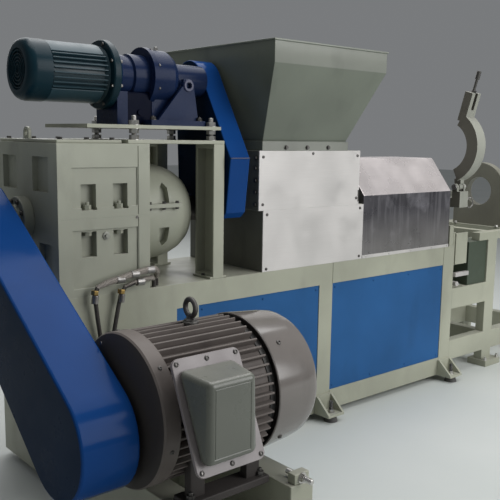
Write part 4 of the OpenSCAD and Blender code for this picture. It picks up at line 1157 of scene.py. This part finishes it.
    def terminal_box(self) -> None:
        """Makes the terminal box: neck, base plate with rounded corners, deep lid and screws."""
        centre = at(87, -925, 648)
        lean = Matrix.Translation(centre) @ Matrix.Rotation(math.radians(self.box_lean), 4, "X")
        plate = bmesh.new()
        flat = Matrix.LocRotScale(Vector((-0.004, 0.007, 0)), None, Vector((0.270, 0.012, 0.370)))
        bmesh.ops.create_cube(plate, size=1.0, matrix=flat)
        corners = [e for e in plate.edges if abs((e.verts[0].co - e.verts[1].co).y) > 0.005]
        round_edges(plate, corners, 0.026, 6)
        bmesh.ops.transform(plate, matrix=lean, verts=plate.verts[:])
        shape = Shape()
        shape.take(plate, 0.0018)
        shape.block(centre + Vector((-0.08, 0.045, -0.08)), centre + Vector((0.08, 0.135, 0.08)), 0.004)
        shape.done("terminal_box_base", PALE_GREY, "terminal_box")
        lid = Shape()
        lid.take(self.lid(lean))
        lid.done("terminal_box_lid", LID_GREY)
        screws = Shape()
        for x in (-0.122, -0.004, 0.114):
            for z in (-0.168, 0.168):
                screws.screw(lean @ Vector((x, 0.001, z)), lean.to_3x3() @ Axis.FRONT.vector, 0.0085)
        screws.done("terminal_box_screws", DARK_STEEL)

    def lid(self, lean: Matrix) -> Part:
        """Shapes the lid from a block whose back lies on the tilted plate and whose front stands upright.

        Args:
            lean: The base plate's place and tilt.

        Returns:
            The lid's bmesh, with a groove round its front.
        """
        part = bmesh.new()
        bmesh.ops.create_cube(part, size=2.0)
        for vert in part.verts:
            side, front, up = vert.co
            if front > 0:
                vert.co = lean @ Vector((-0.012 + side * 0.112, 0.002, 0.002 + up * 0.148))
            else:
                vert.co = lean.translation + Vector((-0.024 + side * 0.091, -0.095, up * 0.131))
        bmesh.ops.recalc_face_normals(part, faces=part.faces[:])
        round_edges(part, part.edges[:], 0.020, 5)
        bmesh.ops.remove_doubles(part, verts=part.verts[:], dist=MERGE)
        face = min(part.faces, key=lambda f: f.calc_center_median().y - (1 if f.calc_area() > 0.02 else 0))
        for thickness, depth in ((0.004, -0.0015), (0.003, 0.0015)):
            bmesh.ops.inset_region(part, faces=[face], thickness=thickness, depth=depth)
        return part

    def eye_bolt(self) -> None:
        """Makes the lifting eye on top of the motor."""
        shape = Shape()
        top = shifted(self.axis, at(204, 0, 0).x) + Vector((0, 0, self.radius))
        shape.turned(top - Vector((0, 0, 0.03)), Axis.UP, [(0, 0.03), (0.032, 0.03), (0.036, 0.026), (0.036, 0)], 32)
        shape.turned(top + Vector((0, 0, 0.004)), Axis.UP,
                     [(0, 0.022), (0.006, 0.022), (0.010, 0.012), (0.022, 0.010), (0.022, 0)], 24)
        shape.loop(top + Vector((0, 0, 0.052)), Axis.ALONG, 0.030, 0.0095)
        shape.done("motor_eye_bolt", DARK_STEEL)

    def bed(self) -> None:
        """Finishes the bed and adds its stop blocks and tension bolts."""
        rounded("motor_bed", SAGE, 0.004)
        blocks, bolts = Shape(), Shape()
        for x in (55, 455):
            blocks.block(at(x - 35, -928, 292), at(x + 35, -890, 330), 0.003)
            bolts.turned(at(x, -850, 312), Axis.FRONT, thread_profile(0.010, 0.13, 0.003), 20)
            bolts.hexagon(at(x, -928, 312), Axis.FRONT, 0.016, 0.014)
        blocks.done("bed_stop_blocks", SAGE)
        bolts.done("bed_tension_bolts", STEEL)


@dataclass
class BeltGuard:
    """The main belt guard with its rolled edges and the screws of its inner side."""

    edge: float = 0.008
    screw_r: float = 0.006
    screws_at: tuple[float, ...] = (0.2, 0.5, 0.8)

    def build(self) -> None:
        """Makes the guard, shaded on its drive side, and the screws on the side towards the machine."""
        face_finish(rounded("belt_guard", GUARD_BLUE, self.edge), GUARD_SHADE, Axis.DRIVE, 0.95)
        low, high = low_high("belt_guard")
        screws = Shape()
        for share in self.screws_at:
            y = low.y + (high.y - low.y) * share
            screws.screw(Vector((high.x - 0.0002, y, (low.z + high.z) / 2)), Axis.ALONG, self.screw_r)
        screws.done("belt_guard_screws", DARK_STEEL)


@dataclass
class Hoses:
    """The two braided hoses on the gear case's front with their end fittings."""

    fitting_r: float = 0.014
    sleeve_t: float = 0.0055
    sleeve_z: float = 0.885
    ends: tuple[tuple[float, float, float], ...] = ((134, -37, 868), (258, -35, 858))
    sleeves: tuple[tuple[float, float, float], ...] = ((300, -45, 927), (330, -40, 891), (230, -46, 912),
                                                       (380, -39, 937))

    def build(self) -> None:
        """Makes the hoses, thicker where the braid covers them, and their fittings."""
        for node in ("hose_long", "hose_short"):
            shape = Shape().copied(node, 0.0)
            for vert in shape.mesh.verts:
                vert.co += vert.normal * self.sleeve_t * min(1.0, max(0.0, (vert.co.z - self.sleeve_z) / 0.02))
            piece = shape.done(node + "_braided", HOSE, node)
            second_finish(piece, BRAID, lambda face: face.center.z > self.sleeve_z)
        brass, steel = Shape(), Shape()
        way = Vector((0.12, 0, 1))
        for x, y, z in self.ends:
            steel.bar(at(x, y, z - 45), way, 0.034, self.fitting_r, sides=24, bevel=0.0015)
            brass.bar(at(x, y, z - 8), way, 0.018, self.fitting_r * 1.2, sides=6, bevel=0.001)
        for place in self.sleeves:
            steel.bar(at(*place), Axis.ALONG, 0.036, self.fitting_r * 1.12, sides=24, bevel=0.0015)
        for x in (190, 212):
            steel.bar(at(x, 0, 560), Axis.FRONT, 0.012, 0.015, sides=6, bevel=0.001)
        brass.done("hose_hex_fittings", BRASS)
        steel.done("hose_sleeves", FITTING)


@dataclass
class Studio:
    """Floor, light and the camera at the photograph's viewing angle."""

    eye: tuple[float, float, float] = (-1321.3, -2704.5, 1500.0)
    heading: float = 49.49
    dip: float = 8.54
    roll: float = 0.87
    focal_px: float = 750.0
    frame_px: float = 500.0
    sensor: float = 36.0
    lamps: tuple[tuple[str, tuple[float, float, float], float, float], ...] = (
        ("front light", (2.5, -6.0, 3.6), 385, 5.0), ("roof light", (0.5, 0.5, 5.5), 270, 5.0),
        ("fill light", (-6.0, -2.5, 2.5), 6, 4.0), ("window light", (1.0, 6.0, 4.5), 110, 5.0))
    lit_point: tuple[float, float, float] = (0, 0, 0.9)
    sky: tuple[float, float, float, float] = (0.86, 0.89, 0.92, 1)
    sky_strength: float = 0.22
    floor_half: float = 30.0

    def build(self) -> None:
        """Sets up the floor, the lamps, the world and the camera."""
        self.floor()
        self.light()
        self.camera()

    def floor(self) -> None:
        """Makes the pale floor."""
        g = Graph("pale floor")
        tone = g.range(g.noise(0.8, 5.0), 0.3, 0.7, (0, 1))
        g.fill(g.surface, Base_Color=g.blend(tone, (0.50, 0.53, 0.51), (0.56, 0.58, 0.56)), Roughness=0.55)
        sheet = bmesh.new()
        bmesh.ops.create_grid(sheet, x_segments=1, y_segments=1, size=self.floor_half)
        data = as_mesh("floor", sheet)
        data.materials.append(g.material)
        put_in_scene("floor", data)

    def view(self, place: Vector, ahead: Vector) -> Matrix:
        """Gives the placing of a lamp or camera that looks ahead from a place."""
        return Matrix.Translation(place) @ ahead.to_track_quat("-Z", "Y").to_matrix().to_4x4()

    def light(self) -> None:
        """Adds large soft lamps, by name, place, watts and width, that face the machine, and the surroundings."""
        for name, place, power, size in self.lamps:
            data = bpy.data.lights.new(name, "AREA")
            data.energy, data.size = power, size
            place = Vector(place)
            put_in_scene(name, data).matrix_world = self.view(place, Vector(self.lit_point) - place)
        world = bpy.data.worlds.new("surroundings")
        bpy.context.scene.world = world
        world.use_nodes = True
        background = world.node_tree.nodes["Background"]
        background.inputs[0].default_value = self.sky
        background.inputs[1].default_value = self.sky_strength

    def camera(self) -> None:
        """Sets the camera where the photograph was taken from."""
        data = bpy.data.cameras.new("viewer")
        data.sensor_width = self.sensor
        data.lens = self.sensor * self.focal_px / self.frame_px
        yaw, dip = math.radians(self.heading), math.radians(self.dip)
        ahead = Vector((math.cos(yaw) * math.cos(dip), math.sin(yaw) * math.cos(dip), -math.sin(dip)))
        roll = Matrix.Rotation(math.radians(self.roll), 4, "Z")
        viewer = put_in_scene("viewer", data)
        viewer.matrix_world = self.view(at(*self.eye), ahead) @ roll
        bpy.context.scene.camera = viewer


def main() -> None:
    """Builds the machine's pieces in order."""
    logging.basicConfig(level=logging.INFO, format="%(name)s: %(message)s")
    bpy.context.scene.view_settings.view_transform = "Standard"
    parts = (Studio(), BaseFrame(), GearCase(), FeederDrive(), FeedBox(), BarrelCover(), Clamp(), DischargeStand(),
             MainMotor(), BeltGuard(), Hoses())
    for part in parts:
        part.build()
        log.info("built %s", type(part).__name__)


if __name__ == "__main__":
    main()
